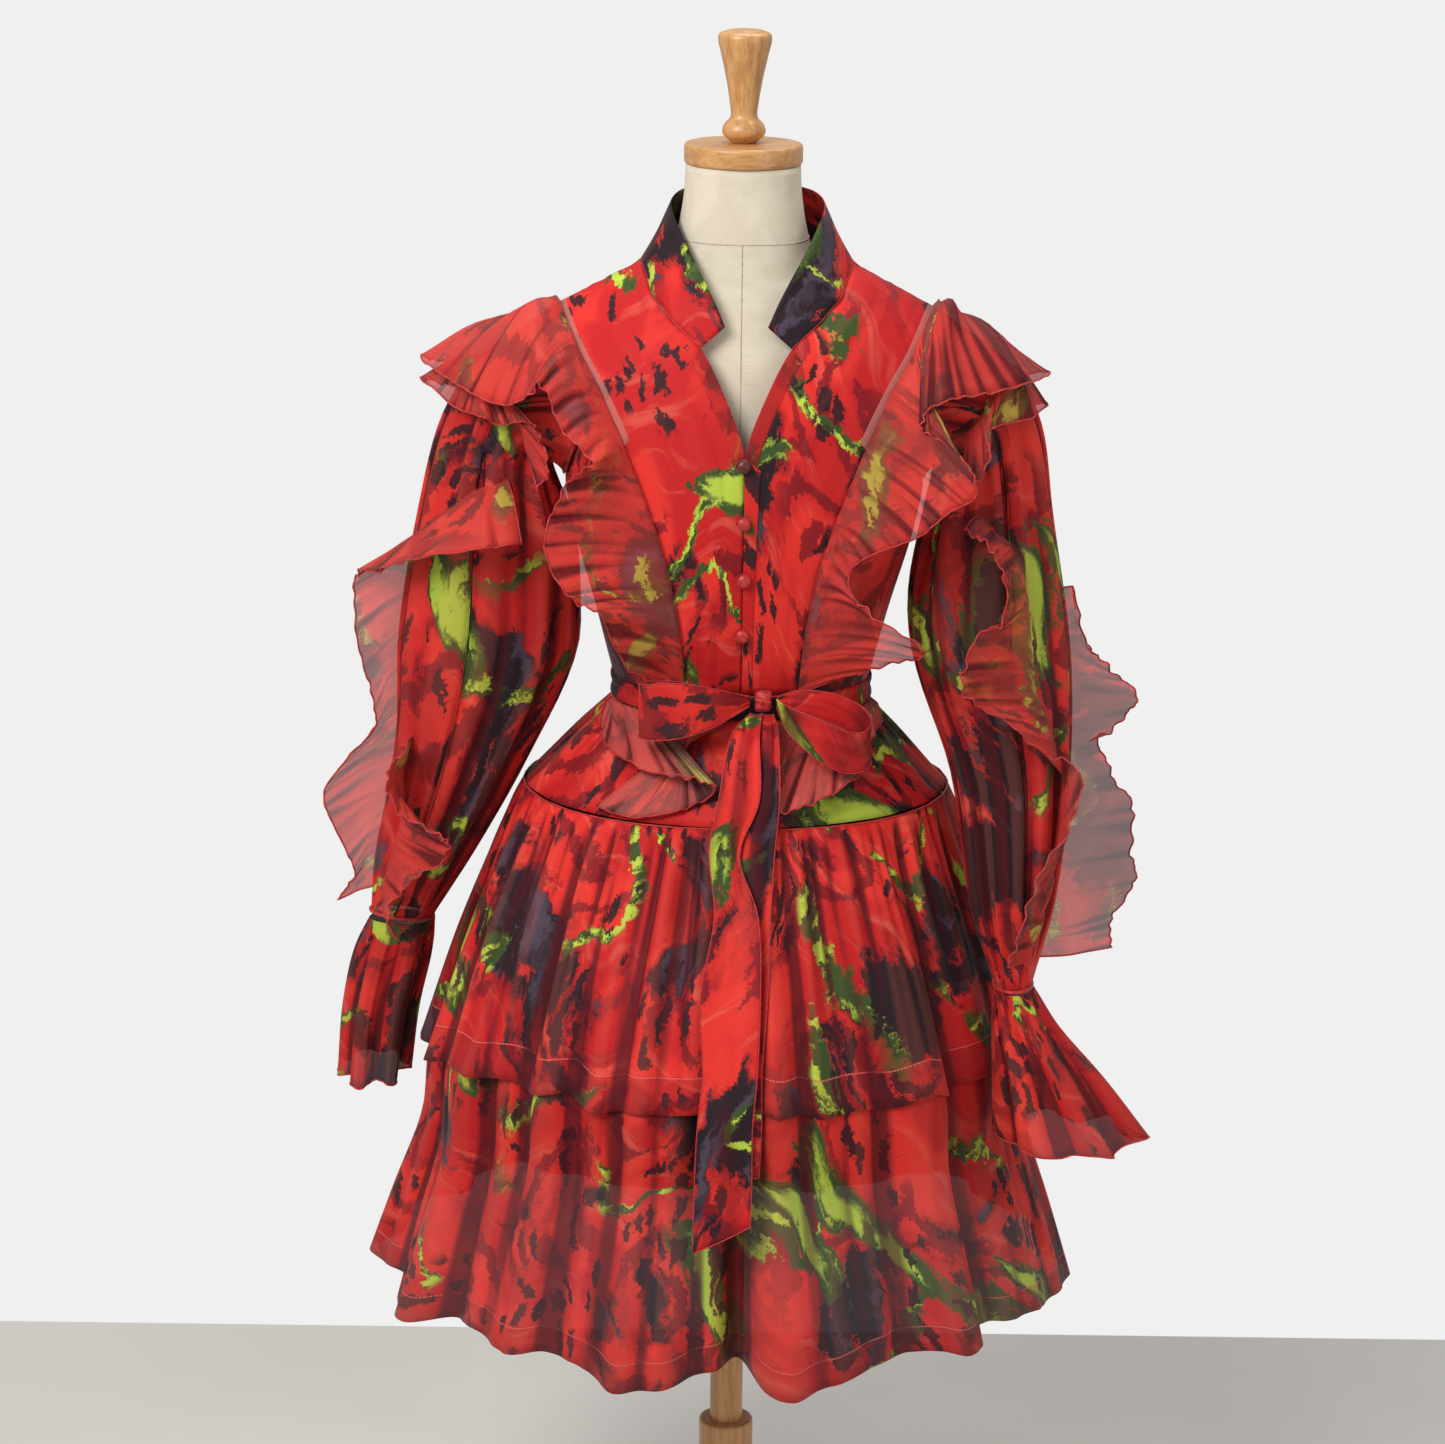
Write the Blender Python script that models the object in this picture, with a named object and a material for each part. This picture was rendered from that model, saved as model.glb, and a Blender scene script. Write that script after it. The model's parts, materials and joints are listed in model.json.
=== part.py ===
"""Ruffle dress on a limbless dress form.

Metres, +Z up. The front faces -Y and the origin is under the centre of the stand's base. Left and
right are as seen from the front. Tables are in millimetres and degrees, one row for a section,
a fold or a ring.
"""

import math

import bmesh
import bpy
import numpy as np
from mathutils.bvhtree import BVHTree

MM = 0.001

# Driving sizes of the cloth
WALL = 1.2 * MM
SEAM = 0.25 * MM  # each piece stops this far short of its seam
LAID = 0.5 * MM  # clearance of a piece that lies on a panel
ROOT_HEIGHT = 1.5 * WALL + LAID  # middle of a ruffle's wall above the cloth that it is sewn on
SLEEVE_ROOT = 2.9 * MM  # the same on a sleeve, whose rings are round
HOLD_OFF = 8 * MM  # how far loose cloth keeps from what it hangs over
CLEAR = 1.8 * WALL + LAID  # least height of a ruffle's middle over what it hangs over
LATTICE, CLEAR_PASSES = (0, 0.25, 0.5, 0.75, 1), 4
REACH = 45 * MM  # cloth deeper than this inside a surface belongs on its other side
PANEL_CLEAR, PANEL_REACH = 3.6 * MM, 5 * MM  # the same two for the bodice's twisted panels
STEEP = 0.7  # a point whose way to a surface leans more than this lies past the surface's edge
BODICE_X = 5 * MM  # the bodice hangs this far to the right on the form
COLLAR_GAP = 0.9 * MM  # between the collar band and the neckline
RUFFLE_INSET = 0.28  # share of a panel's column that a shoulder ruffle lies in from the edge
BELT_TOP, BELT_BOTTOM = 1073.5, 1049.5
TIER_COLUMNS = 90
YOKE_COLUMNS = 45
YOKE_GATHERS = 15
TIER_GATHERS = 30
TIER_GATHER_DEPTHS = (0.3, 3.0, 1.0, 0)  # in mm, a value for each row of UPPER_SHARES
SLEEVE_TWIST = 0.4  # turn of a sleeve's gathers from one ring to the next, in radians
FRILL_PHASE = 0.8
FRILL_DIP = 0.35  # how far the frill's hem rises and falls, as a share of its wave
SMOOTH_ANGLE = 50

# Driving sizes of the form and its stand
CAP_RADIUS, CAP_LOW, CAP_HIGH = 59 * MM, 1592 * MM, 1613 * MM
POLE_RADIUS, POLE_TOP = 17.5 * MM, 850 * MM
COLLAR_RADIUS, COLLAR_TOP, COLLAR_HEIGHT = 29 * MM, 235 * MM, 48 * MM
BASE_RADIUS, BASE_HEIGHT = 210 * MM, 26 * MM
BASE_BEVEL, BASE_FOOT = (12 * MM, 9 * MM), 4 * MM
SOFT = 3 * MM  # rounding of the cap and of the collar
SLIP = 0.4 * MM  # between turned pieces
TORSO_SIDES = 30
TURNED_SIDES = 24
HANDLE_SIDES = 18
WOOD_ROUGHNESS = 0.45

# Colours: sheer red print, linen and beech
RED = (0.62, 0.035, 0.03)
DEEP_RED = (0.36, 0.02, 0.03)
LINEN = (0.72, 0.66, 0.53)
BEECH = (0.55, 0.30, 0.13)

# Torso of the form: height, half-width, half-depth, centre line's y
TORSO = (
    (1592, 57, 55, 0), (1560, 59, 57, 0), (1530, 64, 62, 0), (1508, 71, 66, 2), (1490, 86, 69, 4),
    (1477, 107, 72, 4), (1456, 134, 76, 2), (1432, 152, 81, 0), (1395, 152, 89, -2),
    (1340, 151, 98, -4), (1270, 151, 108, -6), (1220, 144, 109, -7), (1140, 124, 94, -3),
    (1064, 116, 88, 0), (985, 133, 100, 3), (900, 150, 112, 4), (850, 148, 110, 4),
)
TORSO_SQUARENESS = 2.25

# Turned profiles: radius, height
HANDLE = ((12, 1613.3), (20, 1620), (21.5, 1626), (19, 1632), (13.5, 1639), (14, 1650), (18, 1675),
          (23.5, 1700), (26.5, 1713), (25, 1720), (16, 1723.5))

# Bodice pieces of the right half: the inner edge, the outer edge, and how far the row swells out
# between them. The left half mirrors them. Rows run down.
# Columns: x_in, y_in, z_in, x_out, y_out, z_out, swell
FRONT_CENTRE = (
    (105, -4, 1496, 192, -6, 1450, 0),
    (93, -54, 1468, 170, -55, 1411, 4),
    (71, -82, 1446, 147, -86, 1374, 7),
    (45, -98, 1424, 127, -106, 1331, 8),
    (21, -116, 1380, 109, -117, 1288, 8),
    (0, -130, 1322, 93, -121, 1246, 6),
    (0, -136, 1262, 77, -120, 1200, 5),
    (0, -129, 1195, 66, -113, 1145, 4),
    (0, -117, 1135, 62, -106, 1108, 3),
    (0, -107, 1075, 60, -97, 1075, 2),
)
FRONT_SIDE = (
    (147, -86, 1374, 153, -82, 1366, 0),
    (127, -106, 1331, 166, -72, 1318, 5),
    (109, -117, 1288, 176, -42, 1288, 16),
    (93, -121, 1246, 181, 0, 1276, 26),
    (77, -120, 1200, 171, 0, 1222, 28),
    (66, -113, 1145, 151, 0, 1150, 25),
    (60, -97, 1075, 131, 0, 1075, 22),
)
BACK_CENTRE = (
    (105, -4, 1496, 192, -6, 1450, 0),
    (96, 34, 1499, 171, 42, 1411, 5),
    (60, 66, 1501, 149, 74, 1372, 9),
    (0, 78, 1502, 128, 92, 1328, 14),
    (0, 96, 1440, 110, 101, 1284, 10),
    (0, 106, 1370, 92, 104, 1240, 6),
    (0, 110, 1290, 78, 103, 1195, 4),
    (0, 108, 1210, 67, 99, 1140, 3),
    (0, 103, 1140, 62, 96, 1108, 3),
    (0, 100, 1075, 58, 92, 1075, 2),
)
BACK_SIDE = (
    (149, 74, 1372, 155, 70, 1364, 0),
    (128, 92, 1328, 167, 62, 1316, 5),
    (110, 101, 1284, 177, 38, 1288, 14),
    (92, 104, 1240, 181, 0, 1276, 23),
    (78, 103, 1195, 171, 0, 1222, 25),
    (67, 99, 1140, 151, 0, 1150, 22),
    (58, 92, 1075, 131, 0, 1075, 19),
)

# Collar's upper edge, from its front end to the centre back; x mirrors
COLLAR_EDGE = ((21, -91, 1444), (34, -84, 1473), (56, -64, 1512), (72, -28, 1541), (76, 8, 1553),
               (64, 48, 1560), (36, 70, 1563), (0, 78, 1564))

# Yoke: height, half-width, front half-depth, back half-depth, centre x, depth of its gathers
YOKE = (
    (1074.5, 131, 107, 100, 5, 0.0),
    (1048.5, 131, 107, 100, 5, 0.0),
    (1008, 167, 139, 125, 3, 3.0),
    (957.5, 216, 177, 162, 1, 0.6),
)

# Tiers, as the share of the way from the yoke seam's ring to the hem's ring, by height.
# The lower tier runs on under the upper one. Columns: z, share of the upper tier, of the lower
TIER_TOP = (216, 177, 162, 1)  # half-width, front half-depth, back half-depth, centre x
UPPER_SHARES = ((956.6, 0.0, 0.0), (890, 0.29, 0.16), (795, 0.65, 0.40), (688, 1.0, 0.62))
LOWER_SHARES = ((600, 0.67), (510, 0.84), (425, 1.0))
LAYER_GAP = 2.6  # between the tiers at the seam, in mm
LAYER_SPREAD = 2  # what the gap grows by down to the upper hem

# Hem folds: angle from +X towards the back, radius of the crest or trough, height of the hem there
UPPER_HEM = (
    (0, 322, 668), (9, 301, 671), (18, 326, 668), (27, 303, 672), (37, 322, 670), (47, 296, 674),
    (56, 312, 672), (66, 285, 676), (76, 301, 674), (86, 276, 677), (96, 299, 675), (106, 279, 677),
    (116, 305, 674), (126, 288, 675), (136, 316, 672), (146, 296, 674), (156, 326, 669),
    (166, 305, 671), (177, 331, 664), (188, 309, 670), (196, 327, 676), (205, 300, 686),
    (212, 311, 686), (219, 287, 694), (227, 301, 690), (235, 281, 698), (243, 296, 690),
    (252, 281, 698), (260, 287, 697), (268, 281, 699), (275, 252, 702), (282, 286, 698),
    (289, 292, 688), (296, 275, 692), (303, 289, 688), (311, 268, 698), (320, 290, 684),
    (333, 273, 686), (345, 296, 676), (353, 300, 672),
)
LOWER_HEM = (
    (0, 361, 409), (11, 336, 413), (22, 368, 408), (33, 338, 414), (45, 366, 411), (57, 335, 416),
    (68, 361, 413), (80, 331, 418), (91, 359, 415), (103, 332, 419), (114, 364, 415),
    (125, 337, 419), (137, 371, 416), (148, 343, 420), (159, 375, 420), (170, 352, 424),
    (180, 380, 428), (192, 352, 428), (206, 382, 418), (214, 330, 430), (222, 343, 438),
    (230, 359, 434), (238, 341, 440), (246, 345, 437), (251, 366, 426), (259, 358, 429),
    (266, 318, 436), (272, 296, 443), (278, 374, 426), (285, 360, 434), (292, 353, 440),
    (299, 336, 444), (306, 345, 444), (313, 366, 435), (322, 332, 438), (335, 338, 424),
    (348, 352, 414),
)

# Sleeves, down from the armhole: centre of the ring, its half-width outward, half-width across,
# the tilt of the ring from upright to level, and the depth of its gathers
# Columns: x, y, z, out, across, tilt, gather
LEFT_SLEEVE = (
    (-224, -3, 1345, 66, 68, 32, 0),
    (-244, -3, 1303, 64, 68, 58, 4),
    (-250, -2, 1225, 75, 74, 80, 4),
    (-254, 4, 1105, 92, 78, 86, 4),
    (-284, 14, 985, 70, 70, 80, 4),
    (-326, 24, 865, 50, 48, 80, 3),
    (-348, 26, 797, 33, 24, 84, 0),
)
RIGHT_SLEEVE = (
    (231, -4, 1345, 66, 68, 32, 0),
    (250, -8, 1303, 62, 68, 58, 4),
    (257, -16, 1225, 63, 70, 82, 4),
    (259, -34, 1105, 79, 70, 88, 4),
    (280, -64, 985, 60, 62, 88, 4),
    (284, -108, 865, 45, 46, 86, 3),
    (284, -138, 785, 19, 32, 88, 0),
)
SLEEVE_GATHERS = 11

# Cuff frills, down from the elastic: centre, half-width outward, half-depth, wave.
# Columns: x, y, z, out, across, wave
LEFT_FRILL = (
    (-348, 26, 792.6, 34, 25, 0),
    (-360, 28, 750, 38, 34, 3),
    (-373, 30, 690, 36, 44, 6),
    (-380, 30, 622, 34, 54, 9),
)
RIGHT_FRILL = (
    (284, -139, 783.6, 20, 33, 0),
    (298, -145, 742, 32, 42, 3),
    (322, -154, 690, 50, 52, 8),
    (346, -162, 630, 68, 60, 13),
)
FRILL_WAVES = 6
FRILL_SIDES = 24

# Free edges of the ruffles, a row for each crest or turn of the edge, from the waist at the front
# over the shoulder to the waist at the back. lift raises the cloth between root and edge.
# Columns: x, y, z, lift
LEFT_RUFFLE = (
    (-108, -122, 1104, 2), (-124, -146, 1140, 4), (-136, -176, 1177, 6), (-166, -170, 1190, 6),
    (-189, -160, 1232, 6), (-184, -152, 1265, 6), (-166, -154, 1300, 6), (-143, -160, 1322, 6),
    (-170, -142, 1345, 8), (-186, -126, 1376, 10), (-201, -118, 1391, 12), (-218, -110, 1368, 18),
    (-250, -90, 1368, 30), (-286, -48, 1379, 34), (-321, 2, 1392, 28), (-300, 44, 1380, 34),
    (-268, 74, 1368, 32), (-232, 98, 1370, 20), (-206, 114, 1388, 12), (-176, 124, 1350, 8),
    (-192, 138, 1304, 6), (-164, 146, 1262, 6), (-176, 144, 1216, 6), (-148, 140, 1172, 4),
    (-118, 118, 1110, 2),
)
RIGHT_RUFFLE = (
    (118, -122, 1100, 2), (160, -152, 1124, 4), (184, -178, 1142, 6), (142, -172, 1170, 6),
    (112, -152, 1190, 6), (112, -142, 1216, 6), (142, -150, 1236, 6), (176, -152, 1250, 6),
    (206, -152, 1276, 6), (230, -154, 1290, 6), (226, -152, 1315, 6), (206, -134, 1336, 8),
    (180, -124, 1350, 10), (180, -118, 1368, 14), (215, -104, 1380, 24), (249, -78, 1380, 36),
    (282, -40, 1380, 38), (312, 4, 1386, 32), (288, 46, 1376, 38), (256, 78, 1366, 32),
    (226, 98, 1372, 20), (200, 114, 1386, 12), (180, 126, 1346, 8), (190, 142, 1300, 6),
    (160, 146, 1256, 6), (178, 146, 1212, 6), (150, 140, 1168, 4), (118, 118, 1108, 2),
)
# The shorter layer over each sleeve's head, from the front round to the back; same columns
LEFT_CAP = (
    (-200, -116, 1284, 0), (-186, -116, 1304, 0), (-196, -112, 1326, 0), (-202, -104, 1346, 2),
    (-216, -96, 1348, 2), (-238, -86, 1344, 4), (-260, -76, 1350, 4), (-286, -48, 1354, 4),
    (-304, -22, 1364, 4), (-322, 4, 1372, 4), (-300, 36, 1360, 4), (-276, 62, 1348, 4),
    (-242, 82, 1344, 4), (-218, 94, 1350, 2), (-200, 104, 1326, 0), (-198, 110, 1286, 0),
)
RIGHT_CAP = (
    (218, -122, 1290, 0), (238, -120, 1304, 0), (246, -108, 1328, 2), (242, -96, 1342, 4),
    (258, -78, 1348, 4), (284, -46, 1346, 4), (312, 6, 1354, 4), (290, 38, 1346, 4),
    (264, 66, 1340, 4), (236, 84, 1346, 4), (214, 98, 1342, 2), (204, 108, 1290, 0),
)

# Flounces down the sleeves: free edges from the top to the cuff; same columns
LEFT_OUTER_FLOUNCE = (
    (-214, -106, 1228, 0), (-265, -114, 1222, 0), (-330, -84, 1204, 0), (-364, -44, 1184, 0),
    (-388, -6, 1170, 0), (-392, 4, 1140, 0), (-388, 8, 1090, 0), (-376, 10, 1044, 0),
    (-372, 8, 1006, 0), (-394, 12, 978, 0), (-426, 14, 936, 0), (-422, 12, 908, 0),
    (-404, 14, 866, 0), (-396, 14, 840, 0), (-414, 16, 812, 0),
)
LEFT_FRONT_FLOUNCE = (
    (-330, -84, 1010, 0), (-352, -76, 980, 0), (-344, -84, 946, 0), (-308, -100, 926, 0),
    (-290, -108, 914, 0), (-300, -102, 892, 0), (-330, -90, 866, 0), (-352, -76, 836, 0),
    (-346, -76, 800, 0),
)
RIGHT_OUTER_FLOUNCE = (
    (338, -20, 1170, 0), (356, -12, 1112, 0), (382, -8, 1082, 0), (410, -8, 1056, 0),
    (402, -10, 1030, 0), (374, -16, 1006, 0), (392, -24, 966, 0), (410, -32, 936, 0),
    (408, -40, 894, 0), (412, -50, 868, 0), (390, -70, 836, 0), (388, -88, 808, 0),
)
RIGHT_FRONT_FLOUNCE = (
    (222, -116, 1248, 0), (246, -130, 1238, 0), (260, -134, 1210, 0), (262, -134, 1164, 0),
    (238, -148, 1148, 0), (224, -152, 1118, 0), (226, -154, 1090, 0), (256, -152, 1072, 0),
    (282, -150, 1048, 0), (316, -144, 1026, 0), (346, -134, 1004, 0), (334, -150, 960, 0),
    (304, -172, 905, 0), (284, -184, 856, 0), (276, -190, 820, 0),
)
# Where each flounce is sewn. Columns: row of the sleeve's table, degrees from its outer side
# towards the front
LEFT_OUTER_ROOT = ((1.0, 112), (1.3, 82), (1.9, 42), (2.4, 12), (3.2, 4), (4.2, 4), (5.6, 6))
LEFT_FRONT_ROOT = ((3.9, 39), (4.8, 39), (5.7, 38))
RIGHT_OUTER_ROOT = ((2.5, 0), (3.5, 2), (4.5, 4), (5.7, 8))
RIGHT_FRONT_ROOT = ((1.5, 105), (2.1, 66), (3.0, 44), (4.0, 30), (5.6, 40))
CAP_ROOT = ((0, 100), (0, 60), (0, 0), (0, -60), (0, -100))

# Flounces under the bow: free edges from the side to the centre front; columns x, y, z, lift
LEFT_PEPLUM = (
    (-134, -44, 1032, 0), (-132, -94, 1020, 0), (-92, -144, 1009, 0), (-50, -166, 1006, 0),
    (-22, -174, 1002, 0), (-20, -170, 994, 0), (-34, -164, 980, 0), (-60, -164, 968, 0),
    (-100, -156, 958, 0), (-138, -134, 964, 0),
)
RIGHT_PEPLUM = (
    (150, -40, 1034, 0), (134, -96, 1020, 0), (134, -134, 1010, 0), (100, -164, 992, 0),
    (64, -180, 980, 0), (33, -184, 976, 0), (36, -174, 986, 0), (50, -166, 1002, 0),
)
PEPLUM_TURNS = {-1: (192, 264), 1: (352, 280)}  # angles round the waist, side to centre front

# Bow loops, from the knot out and back. Columns: x, y, z of the upper edge, z of the lower
LEFT_LOOP = (
    (13.4, -128, 1079, 1070), (-20, -147, 1092, 1054), (-56, -154, 1099, 1043), (-86, -148, 1096, 1039),
    (-97, -136, 1094, 1040), (-86, -127, 1094, 1046), (-56, -126, 1093, 1056), (-20, -124, 1084, 1064),
    (13.4, -120, 1078, 1071),
)
RIGHT_LOOP = (
    (40.4, -128, 1078, 1068), (54, -152, 1075, 1048), (80, -164, 1068, 1026), (106, -168, 1057, 1014),
    (126, -162, 1054, 1014), (134, -150, 1062, 1022), (124, -138, 1074, 1038), (96, -131, 1085, 1054),
    (62, -126, 1086, 1064), (40.4, -120, 1077, 1070),
)
# Bow tails down from the knot. Columns: x, y, z of the middle, half-width
FRONT_TAIL = (
    (20, -129.2, 1062, 6), (9, -168, 1048, 14), (4, -196, 992, 20), (0, -206, 940, 22), (-2, -231, 880, 23),
    (-3, -262, 810, 25), (-4, -291, 740, 26), (-6, -312, 690, 27), (-7, -320, 640, 28), (-8, -332, 582, 28),
)
BACK_TAIL = (
    (32, -125.5, 1060.5, 5), (33, -158, 1048, 9), (30, -189, 992, 14), (22, -201, 940, 18), (18, -224, 880, 19),
    (14, -252, 810, 20), (12, -281, 740, 20), (10, -303, 690, 20), (8, -312, 640, 20),
)
TAIL_SLANT = 29  # how much higher the front tail's right corner ends
KNOT = (27, -120.1, 1073, 13, 11.2, 12)  # centre, then half sizes

BUTTON_RADIUS = 7 * MM
BUTTON_DEPTH = 0.62 * BUTTON_RADIUS
BUTTONS = ((-1, 1314), (0, 1258), (1, 1199), (0, 1140))  # x from the centre front, z
BUTTON_SIDES = 10


def clear_scene():
    for old in list(bpy.data.objects):
        bpy.data.objects.remove(old, do_unlink=True)


def finish(name, colour, roughness):
    material = bpy.data.materials.new(name)
    material.use_nodes = True
    shader = material.node_tree.nodes["Principled BSDF"]
    shader.inputs["Base Color"].default_value = (*colour, 1)
    shader.inputs["Roughness"].default_value = roughness
    material.diffuse_color = (*colour, 1)
    return material


def add_object(name, bm, colour, roughness=0.85):
    mesh = bpy.data.meshes.new(name)
    bm.to_mesh(mesh)
    bm.free()
    mesh.shade_smooth()
    mesh.set_sharp_from_angle(angle=math.radians(SMOOTH_ANGLE))
    mesh.materials.append(finish(name, colour, roughness))
    obj = bpy.data.objects.new(name, mesh)
    bpy.context.collection.objects.link(obj)
    return obj


def catmull(rows, places, closed=False):
    """Values of a table at these places, counted in rows, along a smooth line through its rows."""
    rows = np.asarray(rows, float)
    count = len(rows)
    places = np.asarray(places, float)
    start = np.floor(places).astype(int)
    if closed:
        a, b, c, d = (rows[(start + k) % count] for k in (-1, 0, 1, 2))
    else:
        start = np.clip(start, 0, count - 2)
        padded = np.vstack([2 * rows[0] - rows[1], rows, 2 * rows[-1] - rows[-2]])
        a, b, c, d = (padded[start + k] for k in (0, 1, 2, 3))
    t = (places - start)[:, None]
    return 0.5 * (
        2 * b + (c - a) * t + (2 * a - 5 * b + 4 * c - d) * t**2 + (3 * b - a - 3 * c + d) * t**3
    )


def spread(rows, count):
    """count points evenly spaced in rows along the smooth line."""
    return catmull(rows, np.linspace(0, len(rows) - 1, count))


def around(rows, angles):
    """Values of a hem table, whose first column is an angle, at these angles in degrees."""
    rows = np.asarray(rows, float)
    turns = np.concatenate([rows[:, 0], [rows[0, 0] + 360]])
    places = np.interp(np.mod(angles - turns[0], 360) + turns[0], turns, np.arange(len(turns)))
    near = np.floor(places)
    eased = near + (1 - np.cos(np.pi * (places - near))) / 2
    low, high = rows[near.astype(int) % len(rows)], rows[(near.astype(int) + 1) % len(rows)]
    return low[:, 1:] + (high - low)[:, 1:] * (eased - near)[:, None]


def evenly(points, count):
    """count points at nearly even distances along a polyline, its own corners among them."""
    points = np.asarray(points, float)
    far = np.concatenate([[0], np.cumsum(np.linalg.norm(np.diff(points, axis=0), axis=1))])
    at = np.linspace(0, far[-1], count)
    if count > len(points):
        for corner in far:
            at[np.argmin(np.abs(at - corner))] = corner
    return np.stack([np.interp(at, far, points[:, k]) for k in range(3)], axis=1)


def subdivided(points, parts):
    """A polyline with each segment cut into equal parts."""
    points = np.asarray(points, float)
    places = np.linspace(0, len(points) - 1, (len(points) - 1) * parts + 1)
    return np.stack([np.interp(places, np.arange(len(points)), points[:, k]) for k in range(3)], axis=1)


def normals_of(grid, closed=False):
    """Outward normals of a grid whose rows run down and whose columns run clockwise from above."""
    if closed:
        across = np.roll(grid, -1, axis=1) - np.roll(grid, 1, axis=1)
    else:
        across = np.gradient(grid, axis=1)
    down = np.gradient(grid, axis=0)
    normal = np.cross(across, down)
    return normal / np.maximum(np.linalg.norm(normal, axis=2, keepdims=True), 1e-12)


def cloth(name, grid, colour=RED, closed=False, outward=True):
    """A cloth wall on a grid of points: rows run down, columns clockwise as seen from above.
    The wall grows outward from the grid, or to both sides of it."""
    rows, columns = grid.shape[:2]
    bm = bmesh.new()
    faces_across = columns if closed else columns - 1
    bmesh.ops.create_grid(bm, x_segments=faces_across, y_segments=rows - 1, size=1)
    bm.verts.ensure_lookup_table()
    wide = faces_across + 1
    for index, vert in enumerate(bm.verts):
        row, column = divmod(index, wide)
        vert.co = grid[row, column % columns]
    if closed:
        bmesh.ops.remove_doubles(bm, verts=bm.verts, dist=1e-7)
    obj = add_object(name, bm, colour)
    skin = obj.modifiers.new("Wall", "SOLIDIFY")
    skin.thickness = WALL
    skin.offset = 1 if outward else 0
    skin.use_rim = True


def turned(name, profile, sides=TURNED_SIDES):
    """A turned piece about the pole's axis, from (radius, height) pairs."""
    bm = bmesh.new()
    ring = [bm.verts.new((radius, 0, height)) for radius, height in profile]
    edges = [bm.edges.new(pair) for pair in zip(ring, ring[1:])]
    bmesh.ops.spin(bm, geom=ring + edges, cent=(0, 0, 0), axis=(0, 0, 1), angle=math.tau,
                   steps=sides, use_merge=True)
    bmesh.ops.remove_doubles(bm, verts=bm.verts, dist=1e-6)
    bmesh.ops.holes_fill(bm, edges=bm.edges, sides=0)
    bmesh.ops.recalc_face_normals(bm, faces=bm.faces)
    return add_object(name, bm, BEECH, WOOD_ROUGHNESS)


def build_form():
    bm = bmesh.new()
    rings = []
    turn = np.linspace(0, math.tau, TORSO_SIDES, endpoint=False)
    for height, half_width, half_depth, middle in TORSO:
        power = 2 / TORSO_SQUARENESS
        x = half_width * np.sign(np.cos(turn)) * np.abs(np.cos(turn)) ** power
        y = middle + half_depth * np.sign(np.sin(turn)) * np.abs(np.sin(turn)) ** power
        rings.append([bm.verts.new((a * MM, b * MM, height * MM)) for a, b in zip(x, y)])
    for upper, lower in zip(rings, rings[1:]):
        edges = [bm.edges.get(pair) or bm.edges.new(pair)
                 for ring in (upper, lower) for pair in zip(ring, ring[1:] + ring[:1])]
        bmesh.ops.bridge_loops(bm, edges=edges)
    bm.faces.new(rings[0])
    bm.faces.new(rings[-1][::-1])
    bmesh.ops.recalc_face_normals(bm, faces=bm.faces)
    add_object("form_torso", bm, LINEN, 0.9)
    low = CAP_LOW + SLIP
    turned("neck_cap", ((CAP_RADIUS - SOFT, CAP_HIGH), (CAP_RADIUS, CAP_HIGH - SOFT),
                        (CAP_RADIUS, low + SOFT), (CAP_RADIUS - SOFT, low)))
    turned("handle", [(radius * MM, height * MM) for radius, height in HANDLE], HANDLE_SIDES)
    turned("pole", ((POLE_RADIUS, POLE_TOP - SLIP), (POLE_RADIUS, BASE_HEIGHT + SLIP)))
    build_ring("pole_collar", POLE_RADIUS + SLIP, COLLAR_RADIUS, COLLAR_TOP - COLLAR_HEIGHT, COLLAR_TOP)
    bevel_in, bevel_down = BASE_BEVEL
    turned("stand_base", ((BASE_RADIUS - bevel_in, BASE_HEIGHT), (BASE_RADIUS, BASE_HEIGHT - bevel_down),
                          (BASE_RADIUS, BASE_FOOT), (BASE_RADIUS - BASE_FOOT, 0)))


def build_ring(name, inner, outer, low, high):
    """A turned ring with a rounded upper and lower rim."""
    bm = bmesh.new()
    outline = ((inner, low), (outer - SOFT, low), (outer, low + SOFT), (outer, high - SOFT),
               (outer - SOFT, high), (inner, high))
    ring = [bm.verts.new((radius, 0, height)) for radius, height in outline]
    edges = [bm.edges.new(pair) for pair in zip(ring, ring[1:] + ring[:1])]
    bmesh.ops.spin(bm, geom=ring + edges, cent=(0, 0, 0), axis=(0, 0, 1), angle=math.tau,
                   steps=TURNED_SIDES, use_merge=True)
    bmesh.ops.remove_doubles(bm, verts=bm.verts, dist=1e-6)
    bmesh.ops.recalc_face_normals(bm, faces=bm.faces)
    add_object(name, bm, BEECH, WOOD_ROUGHNESS)


def panel_grid(table, side, parts_down=1, parts_across=4):
    """Grid of a bodice piece, from the inner edge to the outer edge. side is -1 left, 1 right."""
    rows = spread(table, (len(table) - 1) * parts_down + 1)
    grid = np.empty((len(rows), parts_across + 1, 3))
    for row, values in zip(grid, rows):
        start, end, swell = values[:3], values[3:6], values[6]
        start[0] = max(start[0], 0)
        chord = end - start
        out = np.array([-chord[1], chord[0], 0.0])
        middle = (start + end) / 2
        if out[:2] @ middle[:2] < 0:
            out = -out
        out /= max(np.linalg.norm(out), 1e-9)
        for k in range(parts_across + 1):
            t = k / parts_across
            row[k] = start + chord * t + out * swell * 4 * t * (1 - t)
    grid[..., 0] *= side
    grid = grid * MM
    grid[..., 0] += BODICE_X
    return grid


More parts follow.
